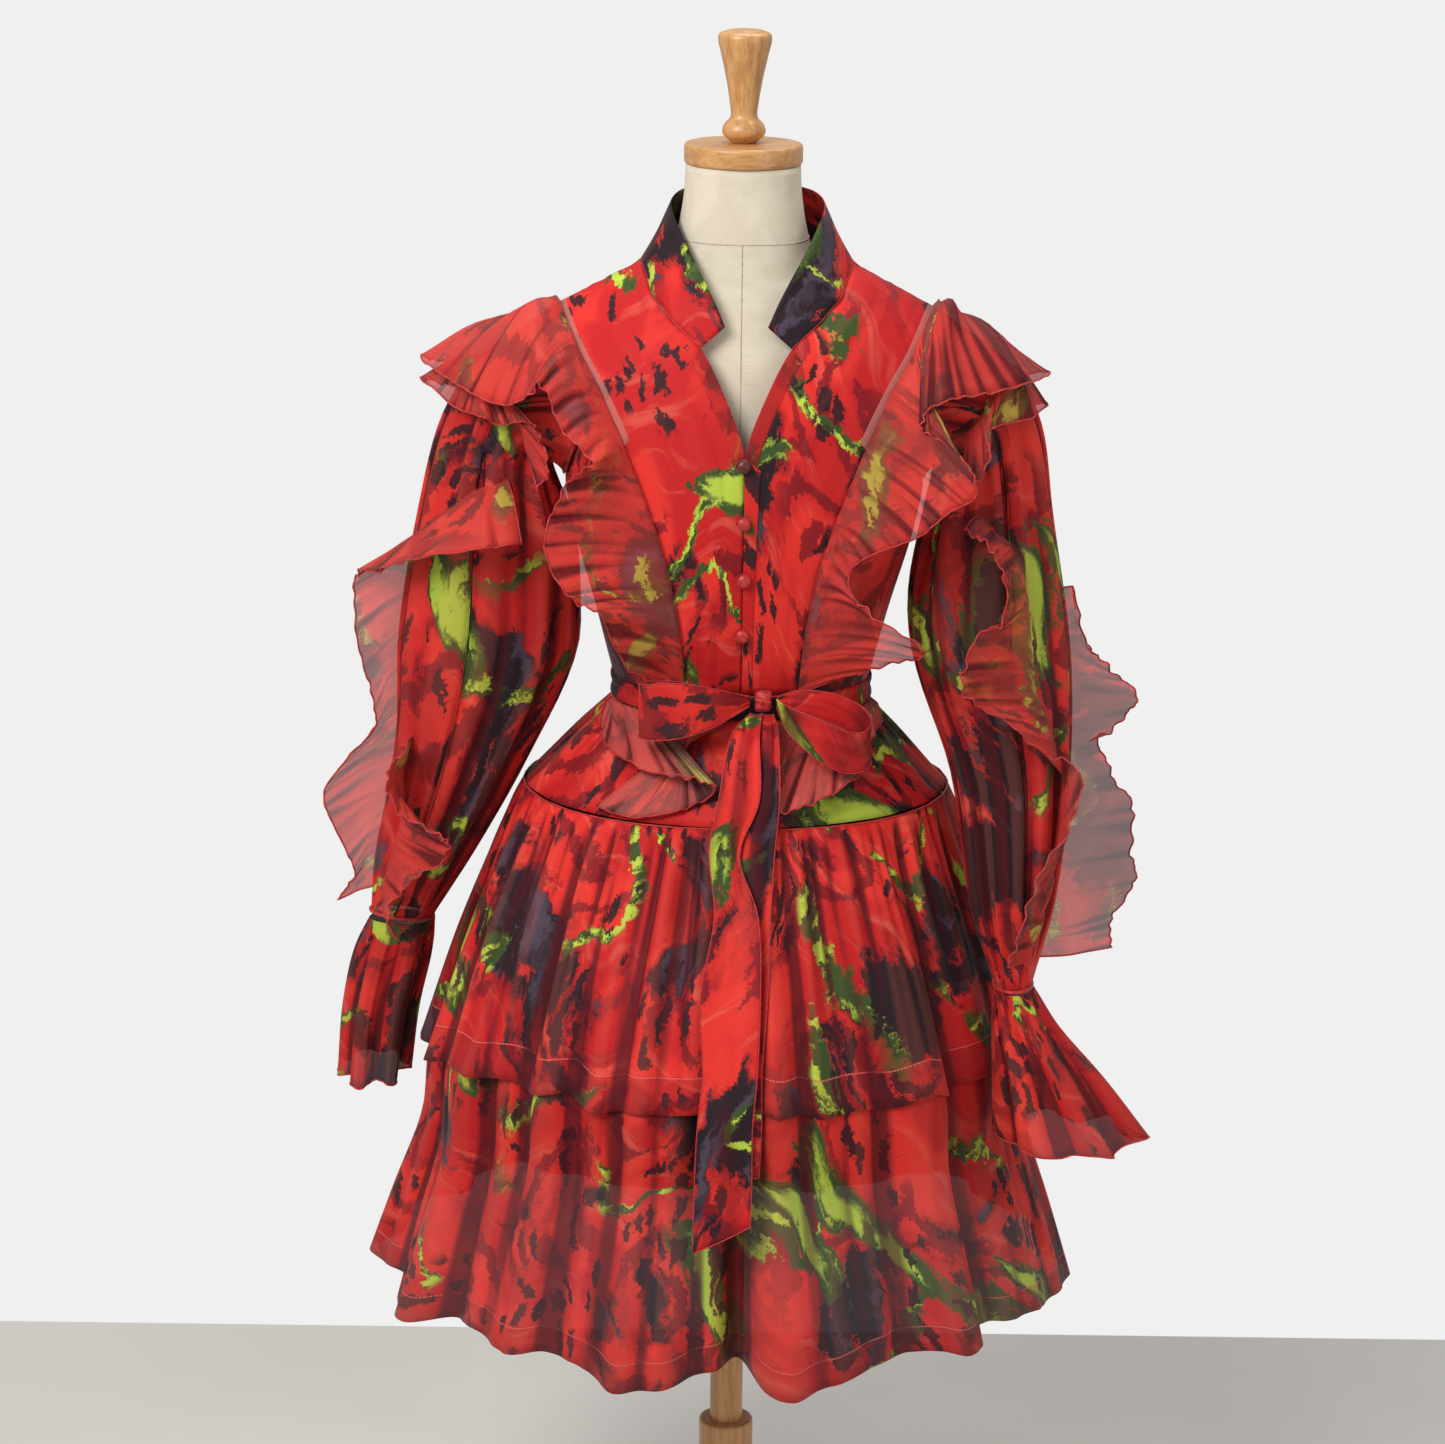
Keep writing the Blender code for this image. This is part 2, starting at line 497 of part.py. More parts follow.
def eased_edges(grid, top=True, bottom=True, first=True, last=True):
    """The grid with its seam edges drawn in, so that the next piece's edge lies clear of it."""
    grid = grid.copy()

    def draw(edge, inside):
        way = inside - edge
        far = np.linalg.norm(way, axis=-1, keepdims=True)
        edge += way / np.maximum(far, 1e-9) * SEAM

    if first:
        draw(grid[:, 0], grid[:, 1])
    if last:
        draw(grid[:, -1], grid[:, -2])
    if top:
        draw(grid[0], grid[1])
    if bottom:
        draw(grid[-1], grid[-2])
    return grid


def facing_out(grid, side, back):
    """The grid with its columns turned to run clockwise from above."""
    runs_clockwise = (side < 0) != back
    return grid if runs_clockwise else grid[:, ::-1]


def build_bodice():
    """The eight pieces. Returns their grids by (piece, side), from the inner edge out."""
    grids = {}
    for side, word in ((-1, "left"), (1, "right")):
        for piece, table, back in (
            ("front", FRONT_CENTRE, False), ("front_side", FRONT_SIDE, False),
            ("back", BACK_CENTRE, True), ("back_side", BACK_SIDE, True),
        ):
            grid = panel_grid(table, side)
            grids[piece, side] = grid
            across = eased_edges(grid)
            cloth(f"{piece}_{word}", facing_out(across, side, back))
    return grids


def build_buttons(front):
    """Covered ball buttons down the centre front, on the panels' edge."""
    edge = front[:, 0]
    for number, (x, z) in enumerate(BUTTONS, 1):
        at = np.interp(z * MM, edge[::-1, 2], edge[::-1, 1])
        bm = bmesh.new()
        bmesh.ops.create_uvsphere(bm, u_segments=BUTTON_SIDES, v_segments=6, radius=BUTTON_RADIUS)
        bmesh.ops.scale(bm, vec=(1, BUTTON_DEPTH / BUTTON_RADIUS, 1), verts=bm.verts)
        place = (x * MM + BODICE_X, at - WALL - LAID - BUTTON_DEPTH, z * MM)
        bmesh.ops.translate(bm, vec=place, verts=bm.verts)
        add_object(f"button_{number}", bm, RED, 0.5)


def armhole(grids, side):
    """The armhole's edge as a loop: over the shoulder tip, down the front, underarm, up the back."""
    front = list(grids["front", side][:3, -1])
    front_side = list(grids["front_side", side][:4, -1])
    back = list(grids["back", side][1:3, -1])
    back_side = list(grids["back_side", side][:3, -1])
    return np.array(front + front_side + back_side[::-1] + back[::-1])


def build_collar(grids):
    """A stand band from the neckline, open at the front."""
    halves = {}
    for side in (-1, 1):
        lower = np.vstack([grids["front", side][3::-1, 0], grids["back", side][1:4, 0]])
        lower = subdivided(lower, 2)
        upper = spread(COLLAR_EDGE, 25) * MM
        upper[:, 0] = upper[:, 0] * side + BODICE_X
        halves[side] = (lower, evenly(upper, len(lower)))
    lower = np.vstack([halves[1][0], halves[-1][0][-2::-1]])
    upper = np.vstack([halves[1][1], halves[-1][1][-2::-1]])
    way = upper - lower
    way /= np.linalg.norm(way, axis=1, keepdims=True)
    lower = lower + way * COLLAR_GAP
    grid = np.stack([upper + (lower - upper) * t for t in (0, 0.5, 1)])
    cloth("collar", grid[:, ::-1])


def waist_ring(angles, half_width, front, back, middle):
    """Points of an oval ring, deeper in front, in millimetres."""
    turn = np.radians(angles)
    depth = np.where(np.sin(turn) < 0, front, back)
    return np.stack([middle + half_width * np.cos(turn), depth * np.sin(turn)], axis=1)


def build_yoke_and_belt():
    angles = -360 * np.arange(YOKE_COLUMNS) / YOKE_COLUMNS
    wave = np.cos(np.radians(angles * YOKE_GATHERS))
    grid = np.empty((len(YOKE), YOKE_COLUMNS, 3))
    for row, (height, half_width, front, back, middle, gather) in zip(grid, YOKE):
        row[:, :2] = waist_ring(angles, half_width, front, back, middle)
        out = row[:, :2] / np.linalg.norm(row[:, :2], axis=1, keepdims=True)
        row[:, :2] += out * (gather * wave)[:, None]
        row[:, 2] = height
    grid *= MM
    grid[-1, :, 2] += SEAM
    grid[0, :, 2] -= SEAM
    cloth("yoke", grid, closed=True)
    belt = grid[:2].copy()
    belt[0, :, 2], belt[1, :, 2] = BELT_TOP * MM, BELT_BOTTOM * MM
    belt += normals_of(belt, closed=True) * (WALL + LAID)
    cloth("belt", belt, DEEP_RED, closed=True)
    return grid


def tier_grids():
    """The two tiers share their columns, so that one never crosses the other."""
    angles = -360 * np.arange(TIER_COLUMNS) / TIER_COLUMNS
    turn = np.radians(angles)
    top = waist_ring(angles, *TIER_TOP)
    top_radius = np.linalg.norm(top, axis=1)
    upper_hem, lower_hem = around(UPPER_HEM, angles), around(LOWER_HEM, angles)
    gather = np.cos(np.radians(angles * TIER_GATHERS))

    def row(radius, height):
        return np.stack([radius * np.cos(turn), radius * np.sin(turn), height], axis=1)

    upper, lower = [], []
    start = UPPER_SHARES[0][0]
    for (height, share_upper, share_lower), ease in zip(UPPER_SHARES, TIER_GATHER_DEPTHS):
        drop = (start - height) / (start - UPPER_SHARES[-1][0])
        heights = start + (upper_hem[:, 1] - start) * drop
        inside = top_radius + (lower_hem[:, 0] - top_radius) * share_lower + ease * gather
        outside = top_radius + (upper_hem[:, 0] - top_radius) * share_upper + ease * gather
        outside = np.maximum(outside, inside + LAYER_GAP + LAYER_SPREAD * drop)
        upper.append(row(outside, heights))
        lower.append(row(inside, heights))
    under_hem = lower[-1][:, 2]
    for height, share in LOWER_SHARES:
        drop = (UPPER_SHARES[-1][0] - height) / (UPPER_SHARES[-1][0] - LOWER_SHARES[-1][0])
        heights = under_hem + (lower_hem[:, 1] - under_hem) * drop
        radius = top_radius + (lower_hem[:, 0] - top_radius) * share
        lower.append(row(radius, heights))
    return np.array(upper) * MM, np.array(lower) * MM


def build_skirt():
    upper, lower = tier_grids()
    cloth("upper_tier", upper, closed=True)
    cloth("lower_tier", lower, DEEP_RED, closed=True)
    return upper, lower


def sleeve_ring(values, places, twist):
    """One ring of a sleeve: places are angles from its outer side towards the front."""
    x, y, z, out, across, tilt, gather = values
    side = math.copysign(1, x)
    lean = math.radians(tilt)
    outward = np.array([side * math.sin(lean), 0, math.cos(lean)])
    frontward = np.array([0, -1.0, 0])
    wave = 1 + (gather / out) * np.cos(places * SLEEVE_GATHERS + twist)
    ring = np.array([x, y, z]) + (np.cos(places) * out * wave)[:, None] * outward
    return ring + (np.sin(places) * across * wave)[:, None] * frontward


def build_sleeve(grids, side, table, word):
    loop = armhole(grids, side)
    loop = subdivided(np.vstack([loop, loop[:1]]), 3)[:-1]
    middle = loop.mean(axis=0)
    places = np.arctan2(-(loop[:, 1] - middle[1]), loop[:, 2] - middle[2])
    rings = [loop + np.array([side, 0, 0]) * (WALL + LAID)]
    for index, values in enumerate(table):
        rings.append(sleeve_ring(values, places, index * SLEEVE_TWIST) * MM)
    grid = np.array(rings)
    if side < 0:
        grid = grid[:, ::-1]
        places = places[::-1]
    cloth(f"sleeve_{word}", grid, closed=True)
    return grid, places


def build_frill(table, side, word):
    """The frill below the elastic, on rings that widen and wave."""
    turn = -np.linspace(0, math.tau, FRILL_SIDES, endpoint=False)
    grid = []
    for x, y, z, out, across, wave in table:
        swing = 1 + wave / max(out, across) * np.cos(FRILL_WAVES * turn + FRILL_PHASE * side)
        drop = -FRILL_DIP * wave * np.sin(FRILL_WAVES * turn)
        grid.append(np.stack([x + out * swing * np.cos(turn), y + across * swing * np.sin(turn),
                              z + drop], axis=1))
    cloth(f"cuff_frill_{word}", np.array(grid) * MM, closed=True)


def surface_of(grid, closed=True):
    """A grid as a search tree whose faces look outward."""
    rows, columns = grid.shape[:2]
    faces = []
    for row in range(rows - 1):
        for left in range(columns if closed else columns - 1):
            right = (left + 1) % columns
            faces.append([row * columns + left, row * columns + right,
                          (row + 1) * columns + right, (row + 1) * columns + left])
    return BVHTree.FromPolygons([tuple(point) for point in grid.reshape(-1, 3)], faces)


def held_off(points, surface, distance, reach=REACH):
    """The points, each at least this far outside the surface, apart from those past its edge."""
    moved = points.copy()
    for index in np.ndindex(points.shape[:-1]):
        near, normal, _, far = surface.find_nearest(tuple(points[index]))
        near, normal = np.array(near), np.array(normal)
        height = (points[index] - near) @ normal
        if height < distance and far < reach and (abs(height) > STEEP * far or far < distance):
            moved[index] = near + normal * distance
    return moved


def cleared(grid, surface, clear, reach):
    """The grid with its corners lifted until a lattice of points on each face clears the surface."""
    grid = grid.copy()
    lattice = [(1 - u, u, 1 - v, v) for u in LATTICE for v in LATTICE]
    weights = [np.array([[a * c, a * d], [b * c, b * d]])[..., None] for a, b, c, d in lattice]
    for _ in range(CLEAR_PASSES):
        for row, column in np.ndindex(grid.shape[0] - 1, grid.shape[1] - 1):
            face = grid[row:row + 2, column:column + 2]
            for weight in weights:
                point = (face * weight).sum(axis=(0, 1))
                near, normal, _, far = surface.find_nearest(tuple(point))
                near, normal = np.array(near), np.array(normal)
                height = (point - near) @ normal
                if height < clear and far < reach and (abs(height) > STEEP * far or far < clear):
                    face += normal * (clear - height) * weight / weight.max()
    return grid


def strip(name, root, edge_table, over, pinned=False, rows=3):
    """A ruffle between its sewn root and its free edge, clear of the surfaces it hangs over.
    over: (surface, how far off it the cloth hangs, its least clearance, how deep in the surface
    a point still belongs outside). pinned: the root's two ends stay where they are sewn."""
    columns = 2 * len(edge_table) - 1
    root = evenly(root, columns)
    table = spread(edge_table, columns) * MM
    edge, lift = table[:, :3], table[:, 3]
    grid = np.empty((rows + 1, columns, 3))
    for k in range(rows + 1):
        t = k / rows
        grid[k] = root + (edge - root) * t
        grid[k, :, 2] += lift * 4 * t * (1 - t)
    for surface, distance, _, reach in over:
        grid[1:] = held_off(grid[1:], surface, distance, reach)
    for surface, _, clear, reach in 2 * over:
        grid = cleared(grid, surface, clear, reach)
    if pinned:
        grid[0, [0, -1]] = root[[0, -1]]
    cloth(name, grid, outward=False)


def build_shoulder_ruffle(grids, side, word, edge, over):
    """The long ruffle sewn up the front seam, over the shoulder and down the back seam."""
    lines = []
    for piece, is_back in (("front", False), ("back", True)):
        grid = grids[piece, side]
        panel = surface_of(facing_out(grid, side, is_back), closed=False)
        over = over + [(panel, ROOT_HEIGHT, PANEL_CLEAR, PANEL_REACH)]
        outer = -1 if (side < 0) != is_back else 0
        out = normals_of(facing_out(grid, side, is_back))[:, outer]
        lines.append(grid[:, -1] + (grid[:, -2] - grid[:, -1]) * RUFFLE_INSET + out * ROOT_HEIGHT)
    up, down = lines[0][::-1], lines[1][1:]
    strip(f"shoulder_ruffle_{word}", np.vstack([up, down]), edge, over, pinned=True)


def sleeve_path(sleeve, stops, surface):
    """A line on the sleeve through these stops, raised off the cloth."""
    grid, places = sleeve
    order = np.argsort(places)
    turns, grid = np.degrees(places[order]), grid[:, order]
    stops = np.asarray(stops, float)
    rings, angles = (subdivided(np.pad(stops, ((0, 0), (0, 1))), 4)[:, k] for k in (0, 1))
    columns = [[np.interp(angle, turns, row[:, k], period=360) for k in range(3)]
               for angle in angles for row in grid]
    columns = np.array(columns).reshape(len(angles), len(grid), 3)
    line = [[np.interp(ring + 1, np.arange(len(grid)), column[:, k]) for k in range(3)]
            for ring, column in zip(rings, columns)]
    return held_off(np.array(line), surface, SLEEVE_ROOT)


def build_peplum(yoke, side, word, edge):
    """The flounce sewn into the waist seam under the belt."""
    start, end = PEPLUM_TURNS[side]
    turns = -360 * np.arange(YOKE_COLUMNS) / YOKE_COLUMNS % 360
    picked = [k for k in range(YOKE_COLUMNS) if min(start, end) <= turns[k] <= max(start, end)]
    picked.sort(key=lambda k: turns[k], reverse=start > end)
    root = yoke[1, picked]
    out = root * (1, 1, 0)
    out /= np.linalg.norm(out, axis=1, keepdims=True)
    strip(f"peplum_{word}", root + out * ROOT_HEIGHT - np.array([0, 0, 2 * LAID]), edge,
          [(surface_of(yoke), HOLD_OFF, CLEAR - 0.1 * WALL, REACH)])


def build_bow(tiers):
    for word, table in (("left", LEFT_LOOP), ("right", RIGHT_LOOP)):
        path = spread(table, 2 * len(table) - 1)
        high = np.stack([path[:, 0], path[:, 1], path[:, 2]], axis=1)
        low = np.stack([path[:, 0], path[:, 1], path[:, 3]], axis=1)
        grid = np.stack([high + (low - high) * t for t in (0, 0.5, 1)]) * MM
        cloth(f"bow_loop_{word}", grid, outward=False)
    for word, table, slant, reach in (("back", BACK_TAIL, 0, HOLD_OFF),
                                      ("front", FRONT_TAIL, TAIL_SLANT, 2 * HOLD_OFF)):
        grid = []
        for row, (x, y, z, half) in enumerate(table):
            lean = slant / 2 * (row == len(table) - 1)
            grid.append([(x + half * s, y + 3 * s * s, z + lean * s) for s in (1, 0, -1)])
        grid = np.array(grid, float) * MM
        for tier in tiers:
            grid = held_off(grid, surface_of(tier), reach)
        cloth(f"bow_tail_{word}", grid, outward=False)
    x, y, z, half_x, half_y, half_z = KNOT
    bm = bmesh.new()
    bmesh.ops.create_uvsphere(bm, u_segments=12, v_segments=8, radius=1)
    bmesh.ops.scale(bm, vec=(half_x * MM, half_y * MM, half_z * MM), verts=bm.verts)
    bmesh.ops.translate(bm, vec=(x * MM, y * MM, z * MM), verts=bm.verts)
    add_object("bow_knot", bm, RED)


def build_side(grids, yoke, side, sleeve, frill, ruffle, peplum, flounces):
    """The sleeve, its frill and every ruffle of one side. flounces: (name, free edge, root)."""
    word = "left" if side < 0 else "right"
    tube = build_sleeve(grids, side, sleeve, word)
    skin = surface_of(tube[0])
    build_frill(frill, side, word)
    build_shoulder_ruffle(grids, side, word, ruffle, [(skin, 2 * HOLD_OFF, CLEAR, REACH)])
    for name, edge, root in flounces:
        strip(f"{name}_{word}", sleeve_path(tube, root, skin), edge, [(skin, HOLD_OFF, CLEAR, REACH)])
    build_peplum(yoke, side, word, peplum)


def main():
    clear_scene()
    build_form()
    grids = build_bodice()
    build_buttons(grids["front", 1])
    build_collar(grids)
    yoke = build_yoke_and_belt()
    tiers = build_skirt()
    build_side(grids, yoke, -1, LEFT_SLEEVE, LEFT_FRILL, LEFT_RUFFLE, LEFT_PEPLUM, (
        ("shoulder_cap", LEFT_CAP, CAP_ROOT),
        ("sleeve_flounce_outer", LEFT_OUTER_FLOUNCE, LEFT_OUTER_ROOT),
        ("sleeve_flounce_front", LEFT_FRONT_FLOUNCE, LEFT_FRONT_ROOT)))
    build_side(grids, yoke, 1, RIGHT_SLEEVE, RIGHT_FRILL, RIGHT_RUFFLE, RIGHT_PEPLUM, (
        ("shoulder_cap", RIGHT_CAP, CAP_ROOT),
        ("sleeve_flounce_outer", RIGHT_OUTER_FLOUNCE, RIGHT_OUTER_ROOT),
        ("sleeve_flounce_front", RIGHT_FRONT_FLOUNCE, RIGHT_FRONT_ROOT)))
    build_bow(tiers)


main()
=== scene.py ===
# %% [markdown]
# # A sheer ruffle dress on a limbless dress form
# The real object is a dress of thin crinkled cloth with a painterly print, worn by a linen form on a
# turned wooden stand. This lesson dresses the part's plain solids: every cut piece of cloth becomes a
# fine shell on its solid's form, and the form and its stand get smooth turned shapes.
# The front faces -Y and +X is to the viewer's right, in metres.

# %% Load the frame
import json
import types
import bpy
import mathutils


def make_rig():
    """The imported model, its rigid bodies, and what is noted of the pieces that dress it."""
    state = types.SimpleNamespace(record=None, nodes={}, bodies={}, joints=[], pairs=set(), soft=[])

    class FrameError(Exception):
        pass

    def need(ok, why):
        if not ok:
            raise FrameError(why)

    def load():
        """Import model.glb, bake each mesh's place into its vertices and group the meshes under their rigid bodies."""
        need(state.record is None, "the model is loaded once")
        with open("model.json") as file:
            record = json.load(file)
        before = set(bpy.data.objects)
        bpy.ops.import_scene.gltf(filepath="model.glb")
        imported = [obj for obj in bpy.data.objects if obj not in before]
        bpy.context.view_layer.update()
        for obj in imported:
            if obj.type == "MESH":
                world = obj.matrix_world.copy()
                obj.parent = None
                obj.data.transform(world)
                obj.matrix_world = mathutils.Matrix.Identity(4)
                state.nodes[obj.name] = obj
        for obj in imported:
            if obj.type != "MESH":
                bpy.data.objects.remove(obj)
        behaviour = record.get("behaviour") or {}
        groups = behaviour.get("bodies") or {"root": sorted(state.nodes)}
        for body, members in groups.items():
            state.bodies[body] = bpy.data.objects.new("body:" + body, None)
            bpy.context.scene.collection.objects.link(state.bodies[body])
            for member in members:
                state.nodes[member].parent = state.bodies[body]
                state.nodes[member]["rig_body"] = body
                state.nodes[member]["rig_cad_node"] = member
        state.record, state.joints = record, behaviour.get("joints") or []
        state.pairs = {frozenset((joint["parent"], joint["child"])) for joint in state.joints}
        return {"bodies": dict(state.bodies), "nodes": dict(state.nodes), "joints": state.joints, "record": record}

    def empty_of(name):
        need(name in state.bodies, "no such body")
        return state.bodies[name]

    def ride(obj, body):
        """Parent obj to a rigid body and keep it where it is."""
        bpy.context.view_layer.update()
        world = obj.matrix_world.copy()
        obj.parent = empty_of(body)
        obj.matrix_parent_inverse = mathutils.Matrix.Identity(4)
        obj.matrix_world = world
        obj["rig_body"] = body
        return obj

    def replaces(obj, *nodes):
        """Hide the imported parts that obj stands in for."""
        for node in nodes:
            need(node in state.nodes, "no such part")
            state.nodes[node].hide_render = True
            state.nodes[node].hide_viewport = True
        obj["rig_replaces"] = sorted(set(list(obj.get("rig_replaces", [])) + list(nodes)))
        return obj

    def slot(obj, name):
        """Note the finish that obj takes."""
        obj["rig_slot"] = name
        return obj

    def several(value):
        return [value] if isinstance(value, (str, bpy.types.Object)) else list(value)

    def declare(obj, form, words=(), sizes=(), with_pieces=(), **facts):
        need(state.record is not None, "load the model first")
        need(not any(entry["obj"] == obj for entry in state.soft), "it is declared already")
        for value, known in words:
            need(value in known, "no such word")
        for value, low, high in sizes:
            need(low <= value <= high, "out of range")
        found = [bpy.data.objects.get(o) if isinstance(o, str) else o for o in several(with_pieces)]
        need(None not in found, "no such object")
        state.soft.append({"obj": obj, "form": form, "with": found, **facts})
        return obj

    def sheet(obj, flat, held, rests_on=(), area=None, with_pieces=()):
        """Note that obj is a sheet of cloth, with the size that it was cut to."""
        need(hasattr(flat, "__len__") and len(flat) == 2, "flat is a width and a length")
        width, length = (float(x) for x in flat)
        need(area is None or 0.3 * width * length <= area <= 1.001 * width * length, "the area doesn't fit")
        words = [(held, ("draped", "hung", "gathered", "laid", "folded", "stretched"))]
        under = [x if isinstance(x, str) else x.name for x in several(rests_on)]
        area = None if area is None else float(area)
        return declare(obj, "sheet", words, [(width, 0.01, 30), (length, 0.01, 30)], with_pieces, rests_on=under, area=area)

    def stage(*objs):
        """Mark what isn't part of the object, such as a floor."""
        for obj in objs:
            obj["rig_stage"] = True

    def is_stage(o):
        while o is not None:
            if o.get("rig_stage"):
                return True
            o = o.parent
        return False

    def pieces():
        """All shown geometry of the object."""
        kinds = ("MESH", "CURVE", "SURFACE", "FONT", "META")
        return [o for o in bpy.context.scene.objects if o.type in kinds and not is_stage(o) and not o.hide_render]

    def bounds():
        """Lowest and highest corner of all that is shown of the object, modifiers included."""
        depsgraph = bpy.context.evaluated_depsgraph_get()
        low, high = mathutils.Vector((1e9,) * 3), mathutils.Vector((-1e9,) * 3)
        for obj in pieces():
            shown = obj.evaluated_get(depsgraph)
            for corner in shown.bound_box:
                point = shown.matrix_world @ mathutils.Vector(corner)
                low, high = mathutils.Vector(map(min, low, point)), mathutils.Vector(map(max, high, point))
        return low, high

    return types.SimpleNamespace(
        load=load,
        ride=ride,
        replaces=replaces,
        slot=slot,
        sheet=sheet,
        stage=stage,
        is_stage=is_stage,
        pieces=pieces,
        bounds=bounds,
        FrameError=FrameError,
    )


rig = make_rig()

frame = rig.load()

import json
import math

import bmesh
import bpy
import numpy as np
from mathutils import Euler, Vector, noise
from mathutils.bvhtree import BVHTree

MM = 0.001
cad_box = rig.bounds()
print("solids' box:", cad_box, "nodes:", len(frame["nodes"]))

# %% [markdown]
# ## Points for cloth
# A piece of cloth can be sculpted, simulated or worked out. Here its folds are where a few rows of sizes
# say, because every ruffle of a real dress hangs in its own way and has to be repeatable. A table holds
# one row for each fold or ring, and a Catmull-Rom line through the rows gives the points between them.

# %% Smooth lines through a table


def catmull(rows, places, closed=False):
    """Values at these places, counted in rows, along a smooth line through a table's rows."""
    rows = np.asarray(rows, float)
    count = len(rows)
    places = np.asarray(places, float)
    start = np.floor(places).astype(int)
    if closed:
        a, b, c, d = (rows[(start + k) % count] for k in (-1, 0, 1, 2))
    else:
        start = np.clip(start, 0, count - 2)
        padded = np.concatenate([[2 * rows[0] - rows[1]], rows, [2 * rows[-1] - rows[-2]]])
        a, b, c, d = (padded[start + k] for k in (0, 1, 2, 3))
    t = (places - start).reshape(-1, *[1] * (rows.ndim - 1))
    return 0.5 * (
        2 * b + (c - a) * t + (2 * a - 5 * b + 4 * c - d) * t**2 + (3 * b - a - 3 * c + d) * t**3
    )


def spread(rows, count):
    """count points evenly spaced in rows along the smooth line."""
    return catmull(rows, np.linspace(0, len(rows) - 1, count))


def around(rows, angles):
    """Values of a hem table, whose first column is an angle, at these angles in degrees."""
    rows = np.asarray(rows, float)
    turns = np.concatenate([rows[:, 0], [rows[0, 0] + 360]])
    places = np.interp(np.mod(angles - turns[0], 360) + turns[0], turns, np.arange(len(turns)))
    near = np.floor(places)
    eased = near + (1 - np.cos(np.pi * (places - near))) / 2
    low, high = rows[near.astype(int) % len(rows)], rows[(near.astype(int) + 1) % len(rows)]
    return low[:, 1:] + (high - low)[:, 1:] * (eased - near)[:, None]


def evenly(points, count):
    """count points at nearly even distances along a polyline, its own corners among them."""
    points = np.asarray(points, float)
    far = np.concatenate([[0], np.cumsum(np.linalg.norm(np.diff(points, axis=0), axis=1))])
    at = np.linspace(0, far[-1], count)
    if count > len(points):
        for corner in far:
            at[np.argmin(np.abs(at - corner))] = corner
    return np.stack([np.interp(at, far, points[:, k]) for k in range(3)], axis=1)


def subdivided(points, parts):
    """A polyline with each segment cut into equal parts."""
    points = np.asarray(points, float)
    places = np.linspace(0, len(points) - 1, (len(points) - 1) * parts + 1)
    return np.stack([np.interp(places, np.arange(len(points)), points[:, k]) for k in range(3)], axis=1)


def refined(grid, down, across, closed=False):
    """The grid with smooth rows and columns between its own ones."""
    grid = catmull(grid, np.linspace(0, len(grid) - 1, (len(grid) - 1) * down + 1))
    columns = grid.transpose(1, 0, 2)
    if closed:
        columns = catmull(columns, np.arange(len(columns) * across) / across, closed=True)
    else:
        columns = catmull(columns, np.linspace(0, len(columns) - 1, (len(columns) - 1) * across + 1))
    return columns.transpose(1, 0, 2)


print("a line through 0, 1, 4:", spread([[0], [1], [4]], 5).ravel().round(2))

# %% [markdown]
# ## Folds and creases
# Sheer cloth is never smooth. Gathers run out of a seam and fade, and soft folds wander down a panel.
# Both are moves along the surface's normals. Their depth comes from noise that runs round a tube on a
# circle, so that it meets itself at the seam, and changes only slowly down the cloth.

# %% Normals and folds
NOISE_GAIN = 1.6  # brings plain noise to about -1 to 1


def normals_of(grid, closed=False):
    """Outward normals of a grid whose rows run down and whose columns run clockwise from above."""
    if closed:
        across = np.roll(grid, -1, axis=1) - np.roll(grid, 1, axis=1)
    else:
        across = np.gradient(grid, axis=1)
    normal = np.cross(across, np.gradient(grid, axis=0))
    return normal / np.maximum(np.linalg.norm(normal, axis=2, keepdims=True), 1e-12)


def fold_pattern(down, columns, closed, count, seed):
    """Noise from about -1 to 1 with this many folds across. down is each row's place in the noise."""
    turn = np.linspace(0, math.tau, columns, endpoint=False)
    pattern = np.empty((len(down), columns))
    for k in range(columns):
        if closed:
            x, y = (count / math.pi * f(turn[k]) for f in (math.cos, math.sin))
        else:
            x, y = 2 * count * k / max(columns - 1, 1), 0.0
        for row, place in enumerate(down):
            pattern[row, k] = noise.noise(Vector((x + seed, y - seed, place + seed)))
    return NOISE_GAIN * pattern


def creased(grid, depth, count, seed, closed=False, fade=None, drift=0.6):
    """The grid with wandering folds of this depth. fade gives each row's share of the depth."""
    rows, columns = grid.shape[:2]
    share = np.ones(rows) if fade is None else np.interp(np.linspace(0, 1, rows), *zip(*fade))
    pattern = fold_pattern(np.linspace(0, drift, rows), columns, closed, count, seed) * share[:, None]
    return grid + normals_of(grid, closed) * (pattern * depth)[..., None]


# %% [markdown] ## Cutting a piece of cloth A plane from create_grid is the flat cut. Its corners then
# move to the shaped grid, and its own UV map keeps the flat cloth's metres, so that the print is
# squeezed in the gathers as it is on real cloth. Every piece lies at another place on the roll, so no
# two show the same part of the print.

# %% Cloth pieces
CLOTH_WALL = 0.45 * MM
ROLL_STEP = (0.73, 0.41)  # how far along and across the roll the next piece is cut, in metres
# These two size the mask of the painted fold shade and the painted crest highlight.
FOLD_SPAN = 20 * MM  # half the width that a fold is read over
FOLD_DEPTH = 2.5 * MM  # a fold this deep counts as full
# A piece that fills less than the first share of its flat size is a shaped one, such as a crescent. Its
# flat size is then narrowed until the piece fills the second share of it.
SHAPED, FILLED = 0.31, 0.32
pieces = {}


def lengths(grid, axis, closed=False):
    """Lengths of the grid's lines along this axis."""
    steps = np.diff(grid, axis=axis)
    total = np.linalg.norm(steps, axis=2).sum(axis=axis)
    if closed:
        total = total + np.linalg.norm(grid[:, 0] - grid[:, -1], axis=1)
    return total


